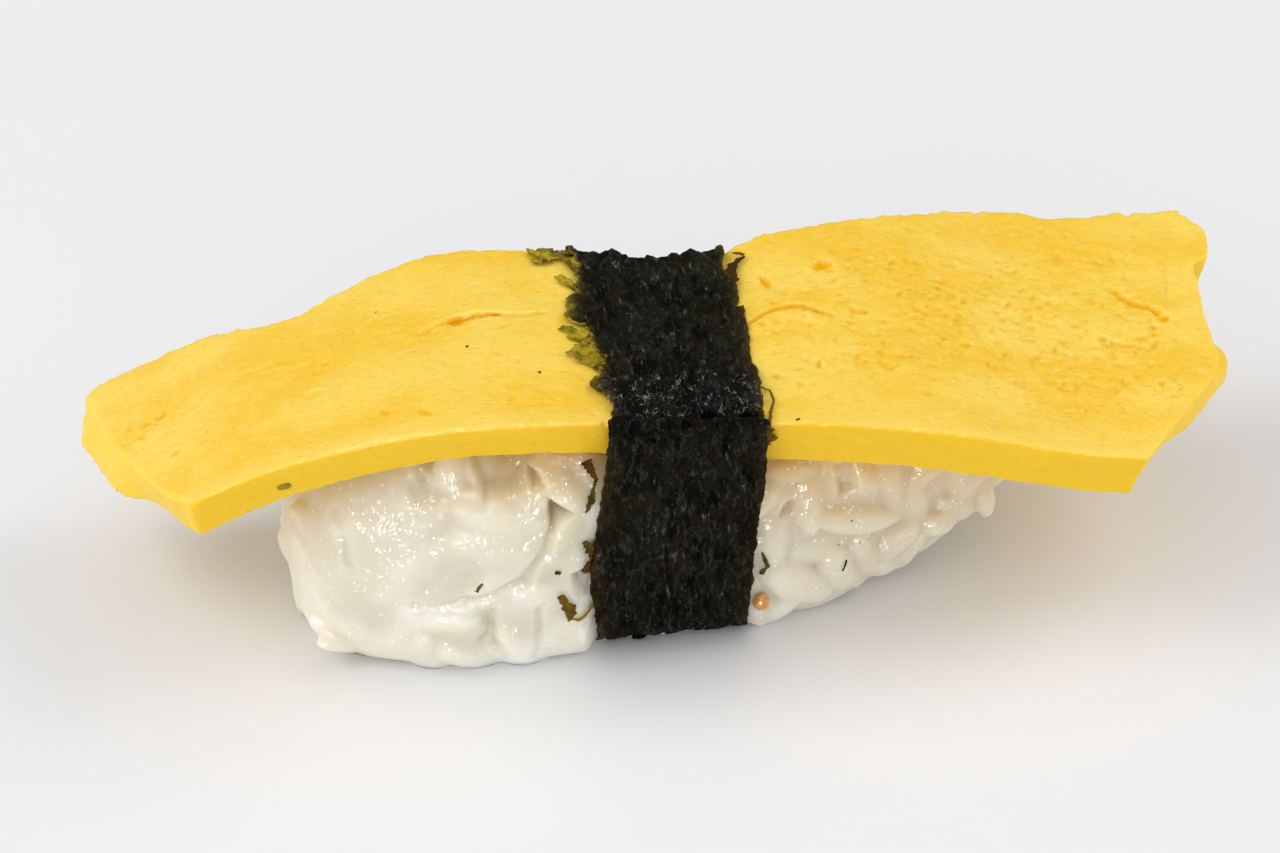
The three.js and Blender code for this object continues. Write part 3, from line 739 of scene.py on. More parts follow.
def makeSeaweedWrap():
    piece = sheetFromBand("seaweed_wrap", lambda centre, normal: True)
    smoothTree = BVHTree.FromObject(piece, bpy.context.evaluated_depsgraph_get())
    finerSheet(piece)
    rim, rimX = rimDistance(piece)
    followOutline(piece, rim, rimX)
    places = placesOf(piece)
    # the wet zone on top: darker, glossier, more crumpled nori, where glints are also painted
    wet = ease(-places[:, 1], 5.6, 7.4) * ease(places[:, 2], 19.0, 20.2)
    leftTop = ease(-places[:, 0], 2, 5) * ease(places[:, 2], 17, 20)
    across, rise = zip(*seaweed["backRise"])
    lift = np.interp(places[:, 0], across, rise)
    places[:, 2] += lift * ease(places[:, 1], 5, 8.5) * ease(places[:, 2], 19, 20.4)
    movePlaces(piece, places)
    tearEdges(piece, rim, 1, seaweed["tornLeft"])
    underLap = ease(-places[:, 1], 11.0, 11.8) * (1 - ease(places[:, 2], 19.8, 20.6))
    crumple(piece, rim, wet, 1 - 0.8 * underLap, 4)
    keepOffEgg(piece)
    paint(piece, "wet", wet)
    # painted shadow in the crevice between the wrap's top edge and the lap
    creviceShadow = ease(-places[:, 1], 10.9, 11.4) * ease(places[:, 2], 18.5, 19.5) * ease(rim, 0.1, 0.8)
    paint(piece, "creviceShadow", creviceShadow)
    paint(piece, "thin", np.exp(-rim / 0.22) * (0.10 + 0.6 * leftTop * ease(places[:, 1], -7.5, -5.5)))
    paint(piece, "brown", np.exp(-rim / 0.5) * 0.12)
    closeSheet(piece)
    applyModifier(piece, "DECIMATE", ratio=seaweed["keep"])
    finishPiece(piece, seaweedMaterial("driedSeaweed"), "seaweed_band")
    return smoothTree


def makeSeaweedLap():
    # the sheet's end, which lies over the front and starts at the slice's edge
    def front(centre, normal):
        return centre.y < -7.5 and (normal.y < -0.3 or centre.z < 1.0)

    piece = sheetFromBand("seaweed_lap", front)
    finerSheet(piece)
    normals, places = normalsOf(piece), placesOf(piece)
    proud = seaweed["lapProud"] * ease(places[:, 2], 0.6, 4.0)
    places += normals * proud[:, None]
    top = ease(places[:, 2], 19.3, 20.7)
    corner = ease(-places[:, 0], 4.5, 7.0) * top
    places[:, 2] += seaweed["lapTop"] * top + 0.25 * corner
    places[:, 1] -= 0.1 * top + 0.3 * ease(places[:, 2], 20.1, 20.7)
    places[:, 0] -= 0.5 * corner
    movePlaces(piece, places)
    rim, _ = rimDistance(piece)
    # the lap's wet top rim: darker and glossier, with painted glints
    wet = ease(places[:, 2], 19.9, 20.8) * 0.3
    # painted shade along the lap's top rim, below the crevice
    shade = ease(places[:, 2] + 0.5 * noiseAt(places, 1.2, 9.0, 2), 20.3, 20.8) * 0.5
    tearEdges(piece, rim, 2, 0.0)
    crumple(piece, rim, wet, 1, 14)
    keepOffEgg(piece)
    paint(piece, "wet", wet)
    paint(piece, "creviceShadow", shade)
    paint(piece, "brown", np.exp(-rim / 0.5) * 0.10 * (1 - top))
    closeSheet(piece)
    finishPiece(piece, seaweedMaterial("driedSeaweedLap"))


wrapTree = makeSeaweedWrap()
makeSeaweedLap()
print("seaweed band ready")

# the rice
riceBall = {
    "middle": (0.43, -0.23, 0),  # of the frame, in the ball's own measures below
    "reachLeft": 27.3, "reachRight": 26.0, "height": 17.8, "widestZ": 4.5, "sink": 2.7,
    "bluntLeft": 3.8, "bluntRight": 2.2, "blockyAbove": 3.2, "blockyBelow": 3.0,
    "liftRight": 5.4, "waistLift": 0.6,
    "halfWidths": ((-26, 12.7), (-12, 12.6), (-4, 12.1), (7, 10.8), (16, 10.3), (26, 9.4)),
    "coreInset": 0.12, "voxel": 0.20, "melt": 4, "press": 10, "keep": 0.58,
    "lean": 0.7, "scatterLeft": 0.45, "scatterRight": 0.9,
    "room": 0.06,  # left to the slice
    "tuckRoom": 0.16, "backRoom": 0.45, "tuckReach": 1.3,  # how the ball is pressed in under the band
    "sliver": 0.002,  # what is smaller is merged away after the cuts
}
# hollows in the front: depth and the corners (x, z) of each
riceHollows = [
    (1.3, [(-15.1, 17.4), (-10.4, 17.4), (-10.5, 15.6), (-11.7, 14.8), (-14.4, 14.5)]),
    (1.9, [(-9.9, 14.4), (-8.3, 13.4), (-9.8, 12.0)]),
    (1.9, [(-11.0, 15.9), (-10.3, 15.7), (-10.2, 15.2), (-10.8, 14.9), (-11.1, 15.4)]),
    (1.2, [(-8.5, 8.7), (-7.5, 8.7), (-6.4, 7.8), (-6.4, 6.0), (-7.5, 6.0), (-8.3, 7.1)]),
    (0.9, [(6.2, 10.7), (7.2, 11.1), (7.6, 11.6), (7.7, 10.3), (6.8, 10.2)]),
    (0.7, [(10.8, 13.4), (12.3, 13.4), (12.6, 11.0), (11.3, 10.6)]),
]
# creases between grains that show plainly: width, depth and the points (x, z) they run through
riceCreases = [
    (0.35, 0.50, [(-9.8, 12.1), (-10.1, 11.0), (-10.9, 9.8), (-12.0, 8.4), (-13.8, 7.6), (-15.7, 7.0),
                  (-16.8, 6.6), (-19.4, 6.5)]),
    (0.35, 0.30, [(-24.3, 12.6), (-24.2, 11.1), (-23.9, 9.3)]),
    (0.35, 0.35, [(-18.8, 5.8), (-16.8, 5.9), (-14.7, 5.6), (-14.3, 4.2), (-14.9, 3.2)]),
    (0.35, 0.40, [(-14.1, 5.8), (-14.0, 3.0), (-13.0, 1.4)]),
    (0.35, 0.35, [(-10.9, 5.9), (-10.7, 3.8), (-11.1, 1.3)]),
    (0.35, 0.40, [(-18.0, 16.2), (-18.4, 15.7), (-18.2, 15.2)]),
    (0.40, 0.35, [(-18.9, 14.7), (-16.0, 14.7), (-14.4, 14.5)]),
]
# rounds of laying: tries, how far apart on a grain's own scale, how deep the grains lie;
# the left half is pressed flat, the right half is looser
flatRice = {"rounds": ((3000, 0.84, 0.40, 0.60), (1500, 0.62, 0.50, 0.70)), "size": (6.8, 3.5, 1.8)}
looseRice = {"rounds": ((3000, 0.76, 0.60, 0.85), (1500, 0.55, 0.72, 0.95)), "size": (6.5, 3.1, 2.6)}
grain = {"length": 6.7, "width": 3.3, "segments": 10, "rings": 8}
# grains that show plainly: their two tips and their width
plainGrains = [
    ((-16.3, -7.6, 17.8), (-16.5, -10.2, 14.0), 2.2), ((-14.6, -7.6, 17.4), (-12.7, -9.7, 14.6), 2.8),
    ((-9.9, -9.7, 14.7), (-11.3, -12.3, 8.9), 2.6), ((-7.7, -11.2, 13.2), (-11.5, -12.2, 8.0), 2.4),
    ((-12.7, -12.5, 4.0), (-12.2, -8.0, 5.4), 3.6), ((-19.0, -11.5, 2.4), (-14.5, -12.0, 4.6), 2.8),
    ((-6.9, -11.6, 3.9), (-8.6, -11.6, 1.5), 3.0), ((-22.2, -10.6, 6.2), (-18.6, -11.2, 11.0), 2.9),
    ((-19.0, -11.5, 6.6), (-14.8, -11.3, 11.4), 2.8), ((-24.5, -8.6, 11.8), (-21.9, -7.9, 13.9), 2.7),
    ((-20.1, -10.2, 12.5), (-16.5, -10.0, 14.3), 2.7), ((-27.0, -5.4, 7.4), (-25.9, -8.2, 4.7), 2.6),
    ((-25.3, -8.6, 6.0), (-23.8, -9.4, 1.8), 2.7), ((-22.7, -9.6, 1.2), (-18.7, -11.0, 3.2), 2.8),
    ((-15.2, -12.2, 7.0), (-11.9, -11.6, 10.2), 2.7), ((6.6, -9.8, 10.6), (6.2, -10.8, 6.0), 2.9),
    ((6.2, -10.9, 5.8), (10.5, -10.0, 2.4), 3.3), ((17.2, -7.5, 10.4), (17.4, -7.6, 5.5), 2.8),
    ((10.0, -10.1, 9.4), (15.5, -8.8, 7.8), 2.3), ((14.1, -8.6, 4.2), (17.0, -8.6, 6.5), 2.4),
    ((12.9, -9.5, 6.6), (14.5, -8.2, 2.5), 1.9), ((9.0, -8.8, 12.9), (9.2, -10.4, 9.0), 2.2),
    ((6.5, -9.3, 13.8), (9.9, -8.4, 13.2), 2.1), ((10.8, -10.1, 6.0), (12.1, -9.0, 2.2), 2.8),
    ((23.4, -4.3, 6.0), (23.6, -4.5, 4.2), 1.8),
]


def riceSkin(lengthways, turn):
    # a point of the ball's skin: lengthways from -1 to 1, and turned round its own length
    reach = riceBall["reachLeft"] if lengthways < 0 else riceBall["reachRight"]
    blunt = riceBall["bluntLeft"] if lengthways < 0 else riceBall["bluntRight"]
    shrink = max(0.0, 1 - abs(lengthways) ** blunt) ** (1 / blunt)
    x = reach * lengthways
    lift = riceBall["liftRight"] * max(lengthways, 0) ** 2
    widestZ = riceBall["widestZ"] + riceBall["waistLift"] * lift
    up, out = math.sin(turn), math.cos(turn)
    if up > 0:
        power, halfHeight = 2 / riceBall["blockyAbove"], riceBall["height"] - widestZ
    else:
        power, halfHeight = 2 / riceBall["blockyBelow"], widestZ + riceBall["sink"] - lift
    stations, halfWidths = zip(*riceBall["halfWidths"])
    y = np.interp(x, stations, halfWidths) * shrink * math.copysign(abs(out) ** power, out)
    z = widestZ + halfHeight * shrink * math.copysign(abs(up) ** power, up)
    return Vector((x, y, max(z, 0.0))) - Vector(riceBall["middle"])


def orderFaces(piece):
    # Blender adds a ball's faces in an order that changes from run to run: this gives them a fixed one
    faces = []
    for face in piece.data.polygons:
        corners = list(face.vertices)
        first = corners.index(min(corners))
        faces.append(corners[first:] + corners[:first])
    places = [point.co.copy() for point in piece.data.vertices]
    piece.data.clear_geometry()
    piece.data.from_pydata(places, [], sorted(faces))


def makeRiceCore():
    bpy.ops.mesh.primitive_uv_sphere_add(segments=48, ring_count=40, radius=1, rotation=(0, math.pi / 2, 0))
    core = bpy.context.object
    core.name = "riceCore"
    bpy.ops.object.transform_apply(rotation=True)
    orderFaces(core)
    for point in core.data.vertices:
        lengthways = max(-1.0, min(1.0, point.co.x))
        point.co = riceSkin(lengthways, math.atan2(point.co.z, point.co.y)) * mm
    editAll(core)
    bpy.ops.mesh.normals_make_consistent(inside=False)
    bpy.ops.object.mode_set(mode="OBJECT")
    return core


def modelGrain(name, bend, plump):
    # one cooked grain along X, thicker at one end and bent a little
    bpy.ops.mesh.primitive_uv_sphere_add(segments=grain["segments"], ring_count=grain["rings"], radius=1,
                                         rotation=(0, math.pi / 2, 0))
    piece = bpy.context.object
    piece.name = name
    bpy.ops.object.transform_apply(rotation=True)
    orderFaces(piece)
    for point in piece.data.vertices:
        x, y, z = point.co
        fuller = 1 + plump * x
        point.co = (x, y * fuller + bend * (1 - x * x), z * fuller)
    return piece


def layGrain(model, middle, lie, out, size):
    side = out.cross(lie).normalized()
    out = lie.cross(side).normalized()
    turned = Matrix((lie, side, out)).transposed().to_4x4()
    piece = bpy.data.objects.new("grainOfRice", model.data.copy())
    bpy.context.collection.objects.link(piece)
    halfSize = Matrix.Diagonal((size[0] / 2, size[1] / 2, size[2] / 2, 1))
    piece.matrix_world = Matrix.Scale(mm, 4) @ Matrix.Translation(middle) @ turned @ halfSize
    return piece


def lieAt(point, out, draw):
    # which way a grain lies: the left half leans like the photo's
    reference = Vector((1, 0, 0)) if abs(out.x) < 0.9 else Vector((0, 1, 0))
    lie = (reference - out * reference.dot(out)).normalized()
    scatter = riceBall["scatterLeft"] if point.x < 0 else riceBall["scatterRight"]
    swirl = 0.5 * noise.noise(point / 9)
    turn = -riceBall["lean"] * (1 if point.x < 0 else 0.3) + swirl + draw.gauss(0, scatter)
    lie.rotate(Matrix.Rotation(turn, 3, out))
    return (lie + out * draw.gauss(0, 0.10)).normalized()


def crowding(point, lie, middles, lies):
    # 1 where two grains just touch, less where they run into one another
    gap = np.array(point) - middles
    nearest = 1e9
    for way in (np.array(lie)[None, :], lies):
        along = (gap * way).sum(1)
        aside = np.sqrt(np.maximum((gap**2).sum(1) - along**2, 0))
        apart = np.sqrt((along / (0.88 * grain["length"])) ** 2 + (aside / grain["width"]) ** 2)
        nearest = min(nearest, apart.min())
    return nearest


def layAllGrains(core):
    draw = random.Random(23)
    models = [modelGrain("grainLong", 0.10, 0.10), modelGrain("grainBent", 0.25, -0.14),
              modelGrain("grainBlunt", 0.04, 0.22)]
    laid, middles, lies, spines = [], [], [], []
    for tipA, tipB, width in plainGrains:
        a, b = Vector(tipA), Vector(tipB)
        middle, lie = (a + b) / 2, (a - b).normalized()
        _, _, out, _ = core.closest_point_on_mesh(middle * mm)
        out = (out - lie * out.dot(lie)).normalized() if abs(out.dot(lie)) < 0.95 else lie.orthogonal()
        flat = middle.x < 0  # the left half is pressed flatter
        size = ((a - b).length + 1.2, width * (1.2 if flat else 1.1), width * (0.65 if flat else 0.85))
        middle -= out * width * (0.19 if flat else 0.22)
        laid.append(layGrain(models[0], middle, lie, out, size))
        middles.append(middle)
        lies.append(lie)
        spines.append((middle, lie))
    for half, kind in ((-1, flatRice), (1, looseRice)):
        faces = [p for p in core.data.polygons if p.normal.z > -0.9 and p.center.x * half > 0]
        areas = [p.area for p in faces]
        for tries, apart, shallow, deep in kind["rounds"]:
            for face in draw.choices(faces, areas, k=tries):
                corners = [core.data.vertices[i].co / mm for i in face.vertices]
                shares = [draw.random() for _ in corners]
                point = sum((c * s for c, s in zip(corners, shares)), Vector()) / sum(shares)
                lie = lieAt(point, face.normal, draw)
                if crowding(point, lie, np.array(middles), np.array(lies)) < apart:
                    continue
                size = [length * draw.uniform(0.88, 1.08) for length in kind["size"]]
                deeper = 0.38 * min(max((-point.x - 19) / 5, 0), 1)  # where the ball's end curves more
                middle = point - face.normal * (draw.uniform(shallow, deep) + deeper)
                laid.append(layGrain(draw.choice(models), middle, lie, face.normal, size))
                middles.append(point)
                lies.append(lie)
                spines.append((middle, lie))
            print("grains laid so far:", len(laid))
    for model in models:
        bpy.data.objects.remove(model)
    return laid, spines


def fatCopy(piece, name, room):
    # a slightly swollen copy, used to cut its neighbour clear of it
    copy = bpy.data.objects.new(name, piece.data.copy())
    bpy.context.collection.objects.link(copy)
    applyModifier(copy, "DISPLACE", strength=room * mm, mid_level=0)
    return copy


def cutAway(piece, cutter):
    applyModifier(piece, "BOOLEAN", operation="DIFFERENCE", object=cutter, solver="MANIFOLD")
    bpy.data.objects.remove(cutter)


def depthInside(x, y, corners):
    # how far each point lies inside a rounded outline, below 0 outside it
    middleX, middleY = np.mean(corners, axis=0)
    inside = np.full(len(x), 1e9)
    for (x0, y0), (x1, y1) in zip(corners, corners[1:] + corners[:1]):
        length = math.hypot(x1 - x0, y1 - y0)
        nx, ny = (y1 - y0) / length, (x0 - x1) / length
        if (middleX - x0) * nx + (middleY - y0) * ny < 0:
            nx, ny = -nx, -ny
        inside = np.minimum(inside, (x - x0) * nx + (y - y0) * ny)
    return inside


def awayFromLine(x, y, points):
    away = np.full(len(x), 1e9)
    for (x0, y0), (x1, y1) in zip(points, points[1:]):
        dx, dy = x1 - x0, y1 - y0
        share = np.clip(((x - x0) * dx + (y - y0) * dy) / (dx * dx + dy * dy), 0, 1)
        away = np.minimum(away, np.hypot(x - x0 - share * dx, y - y0 - share * dy))
    return away


def pressRice(piece):
    # the hollows and creases that show on the front
    places = placesOf(piece)
    wobble = 0.25 * noiseAt(places, 1.6, 3.0, 1)
    x, z = places[:, 0] + wobble, places[:, 2] - wobble
    sunk = np.zeros(len(places))
    for depth, corners in riceHollows:
        sunk = np.maximum(sunk, depth * ease(depthInside(x, z, corners), -0.25, 0.45))
    hollow = sunk.copy()
    for width, depth, points in riceCreases:
        sunk += depth * np.exp(-((awayFromLine(x, z, points) / width) ** 2))
    front = ease(-places[:, 1], 4, 6)
    inward = np.array((0, 0.95, -0.1))
    movePlaces(piece, places + inward * (sunk * front)[:, None])
    # painted shade: darker, warmer colour deep in the hollows
    paint(piece, "hollows", ease(hollow * front, 0.3, 2.3))


def tuckUnderBand(piece, sheetTree):
    # presses the ball in where the band runs round it, easing out beside the band
    places = placesOf(piece)
    near = np.where((places[:, 0] > -9.5) & (places[:, 0] < 8.5))[0]
    for index in near:
        point = Vector(places[index])
        spot, out, _, _ = sheetTree.find_nearest(point * mm)
        spot /= mm
        room = riceBall["tuckRoom"] + riceBall["backRoom"] * min(max((point.y + 2) / 5, 0), 1)
        proud = (point - spot).dot(out) + room
        aside = abs(point.x - spot.x) / riceBall["tuckReach"]
        if proud > 0 and aside < 1 and proud < 3:
            places[index] -= np.array(out) * proud * (1 - aside * aside * (3 - 2 * aside))
    movePlaces(piece, places)


def riceMaterial():
    material, tree, shader = newMaterial("stickyRice")
    place = objectPlace(tree)
    cloud = noiseNode(tree, place, 0.22, 2.0)
    colour = blendColours(tree, spread(tree, cloud, 0.35, 0.65), (0.860, 0.815, 0.68), (0.888, 0.855, 0.748))
    # painted light and shade in the rice's colour: the right side darker (painted shade), rice just below the
    # slice warmer (painted bounce light and shade), creases and hollows darker (painted shade); glassy is
    # each grain's own tone
    colour = tintWhere(tree, colour, ("glassy", 0.6, (0.64, 0.585, 0.45)),
                       ("rightSideShade", 0.55, (0.66, 0.60, 0.48)), ("eggBounceShade", 1.0, (0.84, 0.55, 0.13)),
                       ("creases", 0.5, (0.74, 0.62, 0.38)), ("hollows", 0.55, (0.66, 0.52, 0.24)))
    # the wet film glints in patches only; white dots in clusters are painted glints, only on faces turned up
    # and to the front
    damp = spread(tree, noiseNode(tree, place, 0.40, 2.0, 0.6), 0.45, 0.58)
    glintDots = addNode(tree, "ShaderNodeTexVoronoi", {"Vector": warpedPlace(tree, place, 2.0, 0.6), "Scale": 2.5,
                                                   "Randomness": 1.0})
    chosen = addNode(tree, "ShaderNodeSeparateColor", {0: glintDots.outputs["Color"]}).outputs[0]
    paintedGlints = timesNode(tree, spread(tree, glintDots.outputs["Distance"], 0.18, 0.30, 1.0, 0.0),
                       spread(tree, chosen, 0.15, 0.25))
    clusters = spread(tree, noiseNode(tree, place, 0.60, 3.0, 0.6), 0.535, 0.575)
    paintedGlints = timesNode(tree, timesNode(tree, paintedGlints, clusters), attributeShare(tree, "lit"))
    colour = blendColours(tree, paintedGlints, colour, (1.0, 1.0, 0.97))
    tree.links.new(colour, shader.inputs["Base Color"])
    setShader(shader, Subsurface_Weight=1.0, Subsurface_Radius=(1.0, 0.85, 0.62), Subsurface_Scale=2.6 * mm,
              IOR=1.36, Specular_IOR_Level=0.15, Roughness=0.50, Coat_IOR=1.5, Coat_Roughness=0.20)
    facing = addNode(tree, "ShaderNodeLayerWeight", {0: 0.5}).outputs["Facing"]
    film = timesNode(tree, damp, spread(tree, facing, 0.40, 0.70, 0.8, 0.0))
    tree.links.new(film, shader.inputs["Coat Weight"])
    skin = noiseNode(tree, place, 1.1, 2.0)
    bumpFrom(tree, shader, (skin, 0.05))
    starch = noiseNode(tree, place, 1.5, 2.0, 0.5)
    film = addNode(tree, "ShaderNodeBump", {"Height": starch, "Distance": 0.34 * mm, "Strength": 1.0})
    tree.links.new(film.outputs["Normal"], shader.inputs["Coat Normal"])
    return material


def shadesOfGrains(piece, spines):
    # each grain its own shade, from 0 (chalky) to 1 (glassy)
    draw = random.Random(5)
    shades = [draw.random() for _ in spines]
    tree = KDTree(3 * len(spines))
    for index, (middle, lie) in enumerate(spines):
        for share in (-0.28, 0, 0.28):
            tree.insert(middle + lie * grain["length"] * share, index)
    tree.balance()
    mixed = []
    for place in placesOf(piece):
        near = tree.find_n(place, 3)
        shares = [math.exp((near[0][2] - away) / 0.3) for _, _, away in near]
        mixed.append(sum(shades[n[1]] * share for n, share in zip(near, shares)) / sum(shares))
    return np.array(mixed)


def creaseShadeOf(piece):
    # how deep each point lies in a crease between grains, from 0 to 1, for the painted shade there
    smooth = bpy.data.objects.new("smoothed", piece.data.copy())
    bpy.context.collection.objects.link(smooth)
    applyModifier(smooth, "SMOOTH", factor=0.7, iterations=12)
    below = ((placesOf(smooth) - placesOf(piece)) * normalsOf(smooth)).sum(1)
    bpy.data.objects.remove(smooth)
    return ease(below, 0.02, 0.20)


def keepMainBody(piece):
    # drops the slivers that the cuts leave: doubled faces, and what isn't joined to the leftmost point
    editAll(piece)
    bpy.ops.mesh.select_mode(type="FACE")
    bpy.ops.mesh.remove_doubles(threshold=riceBall["sliver"] * mm)
    bpy.ops.mesh.dissolve_degenerate(threshold=riceBall["sliver"] * mm)
    bpy.ops.mesh.select_all(action="DESELECT")
    bpy.ops.object.mode_set(mode="OBJECT")
    corners = [tuple(sorted(face.vertices)) for face in piece.data.polygons]
    uses = Counter(corners)
    for face, its in zip(piece.data.polygons, corners):
        face.select = uses[its] > 1
    bpy.ops.object.mode_set(mode="EDIT")
    bpy.ops.mesh.delete(type="ONLY_FACE")
    bpy.ops.mesh.select_mode(type="VERT")
    bpy.ops.mesh.select_all(action="SELECT")
    bpy.ops.mesh.delete_loose(use_faces=True)
    bpy.ops.mesh.select_all(action="DESELECT")
    bpy.ops.object.mode_set(mode="OBJECT")
    leftmost = int(placesOf(piece)[:, 0].argmin())
    piece.data.vertices[leftmost].select = True
    bpy.ops.object.mode_set(mode="EDIT")
    bpy.ops.mesh.select_linked()
    bpy.ops.mesh.select_all(action="INVERT")
    bpy.ops.mesh.delete(type="VERT")
    bpy.ops.object.mode_set(mode="OBJECT")


def makeRice(sheetTree):
    core = makeRiceCore()
    laid, spines = layAllGrains(core)
    applyModifier(core, "DISPLACE", strength=-riceBall["coreInset"] * mm, mid_level=0)
    onlySelect(core)
    for piece in laid:
        piece.select_set(True)
    bpy.ops.object.join()
    rice = bpy.context.object
    rice.name = "rice"
    applyModifier(rice, "SUBSURF", levels=1, render_levels=1)
    applyModifier(rice, "REMESH", mode="VOXEL", voxel_size=riceBall["voxel"] * mm)
    applyModifier(rice, "SMOOTH", factor=0.5, iterations=riceBall["melt"])
    weigh(rice, "pressedFlat", 1 - 0.65 * ease(placesOf(rice)[:, 0], -8, 2))
    applyModifier(rice, "SMOOTH", factor=0.5, iterations=riceBall["press"], vertex_group="pressedFlat")
    # painted shade: darker, warmer colour in the creases between grains
    paint(rice, "creases", creaseShadeOf(rice))
    paint(rice, "glassy", shadesOfGrains(rice, spines))
    roughen(rice, cloudTexture("riceSkin", 1.6), 0.08)
    pressRice(rice)
    tuckUnderBand(rice, sheetTree)
    cutAway(rice, fatCopy(omelettePiece, "omeletteRoom", riceBall["room"]))
    bpy.ops.mesh.primitive_cube_add(size=100 * mm, location=(0, 0, -50 * mm))
    cutAway(rice, bpy.context.object)
    applyModifier(rice, "DECIMATE", ratio=riceBall["keep"])
    keepMainBody(rice)
    places = placesOf(rice)
    # painted bounce light and shade: rice just below the slice turns darker and warmer, as if lit by the
    # yellow egg and shaded by it
    eggZ = np.interp(places[:, 0], (-28, -18, -8, 6, 16, 26), (14.5, 17.2, 17.4, 16.0, 14.8, 12.6))
    bounceWarmth = np.interp(places[:, 0], (-20, -16, -12, -6, 5, 12, 20), (0.10, 0.30, 0.9, 0.8, 1.0, 1.0, 0.9))
    bounceReach = np.interp(places[:, 0], (-10, 6), (2.2, 3.4))
    paint(rice, "eggBounceShade", bounceWarmth * np.exp(-np.clip(eggZ - places[:, 2], 0, None) / bounceReach))
    # painted shade: the right side of the ball darker and greyer
    paint(rice, "rightSideShade", ease(places[:, 0], 4, 9))
    # where the surface faces up and to the front: the only place for the painted glints
    paint(rice, "lit", ease(normalsOf(rice) @ np.array((-0.25, -0.45, 0.86)), -0.05, 0.4))
    return finishPiece(rice, riceMaterial(), "rice_ball")


ricePiece = makeRice(wrapTree)
print("rice ready")

# torn strips of seaweed: what they lie on, the points they run through, their widths there,
# how far they stand off, and how thin (olive) and how brown they look
strips = (
    ("egg", ((-8.2, 9.3, 20.6), (-7.2, 9.4, 20.6), (-6.3, 9.6, 20.5)), (1.7, 2.1, 1.5), 0.14, 0.85, 0.0),
    ("egg", ((-6.6, 10.4, 20.4), (-5.8, 10.2, 20.7), (-4.8, 9.9, 21.0)), (0.7, 0.9, 0.8), 0.20, 0.45, 0.4),
    ("egg", ((-6.2, 9.9, 20.5), (-5.8, 9.0, 20.8), (-5.1, 7.2, 21.0)), (0.5, 0.45, 0.5), 0.25, 0.30, 0.6),
    ("egg", ((-6.6, 6.9, 20.6), (-6.1, 6.0, 20.6), (-5.6, 5.0, 20.7)), (0.6, 0.9, 0.5), 0.05, 0.80, 0.1),
    ("egg", ((-7.3, 0.3, 21.0), (-6.6, -0.3, 21.0), (-5.8, -1.2, 21.1)), (0.5, 0.9, 1.1), 0.07, 0.80, 0.2),
    ("egg", ((-7.0, -0.9, 21.0), (-6.3, -1.3, 21.0), (-5.6, -1.8, 21.1)), (0.2, 0.5, 0.7), 0.10, 0.70, 0.5),
    ("egg", ((-7.0, -2.4, 21.0), (-6.2, -3.1, 21.0), (-5.0, -4.2, 21.3)), (1.1, 1.7, 1.6), 0.09, 0.62, 0.1),
    ("egg", ((-6.3, -3.9, 21.0), (-5.7, -4.7, 21.0), (-5.1, -5.4, 21.2)), (0.15, 0.3, 0.4),
     0.14, 0.40, 0.5),
    ("egg", ((-5.7, -5.9, 21.0), (-6.1, -6.7, 21.0), (-5.6, -7.7, 21.0)), (0.2, 0.5, 0.25),
     0.25, 0.20, 0.9),
    ("egg", ((5.4, 5.0, 20.6), (6.1, 6.7, 20.3), (7.2, 7.6, 20.3)), (1.5, 0.75, 0.15), 0.22, 0.0, 0.35),
    ("egg", ((7.2, 7.6, 20.3), (6.9, 7.9, 20.3), (6.4, 8.2, 20.2)), (0.28, 0.25, 0.08), 0.35, 0.0, 0.7),
    ("egg", ((5.6, -8.0, 20.4), (6.2, -8.6, 20.3), (6.25, -9.6, 20.3), (5.8, -10.8, 20.4),
      (5.5, -12.0, 20.5)),
     (0.16, 0.14, 0.14, 0.2, 0.3), 0.22, 0.1, 0.8),
    ("egg", ((5.2, -12.2, 19.8), (5.5, -12.2, 18.9), (5.3, -12.2, 17.8)), (0.9, 1.2, 0.6), 0.10, 0.25, 1.0),
    ("rice", ((-6.9, -8.6, 15.8), (-6.7, -9.0, 15.4), (-6.4, -9.5, 14.8)), (0.7, 0.6, 0.2),
     0.30, 0.0, 0.75),
    ("rice", ((-6.4, -9.4, 15.0), (-6.6, -9.9, 14.4), (-6.9, -10.3, 13.9), (-7.3, -11.0, 13.3)),
     (0.16, 0.22, 0.5, 0.1), 0.22, 0.22, 0.1),
    ("rice", ((-7.5, -11.3, 11.1), (-7.2, -11.3, 10.5), (-6.9, -11.2, 9.8)), (0.35, 0.6, 0.5),
     0.22, 0.10, 0.35),
    ("rice", ((-9.6, -12.1, 9.1), (-9.2, -12.1, 9.0)), (0.3, 0.25), 0.10, 0.05, 0.1),
    ("rice", ((-9.4, -12.4, 7.3), (-8.7, -12.1, 6.2), (-8.5, -11.9, 5.1), (-8.7, -11.9, 4.5)),
     (0.5, 0.8, 0.65, 0.2), 0.30, 0.12, 0.7),
    ("rice", ((-8.6, -11.9, 4.7), (-8.1, -11.8, 4.4), (-7.2, -11.6, 4.6), (-6.5, -11.4, 5.0)),
     (0.18, 0.2, 0.28, 0.5), 0.18, 0.40, 0.6),
    ("rice", ((5.6, -10.2, 7.8), (5.85, -10.3, 6.7), (5.5, -10.4, 5.7)), (0.15, 0.38, 0.3),
     0.12, 0.18, 0.0),
    ("rice", ((-14.8, -12.1, 8.6), (-15.2, -12.1, 7.9)), (0.16, 0.2), 0.06, 0.0, 1.0),
    ("rice", ((-23.8, -9.8, 0.7), (-23.2, -9.6, 0.5)), (0.15, 0.22), 0.10, 0.7, 0.0),
    ("rice", ((11.8, -10.0, 5.6), (11.4, -10.05, 4.8)), (0.12, 0.14), 0.05, 0.0, 0.1),
)
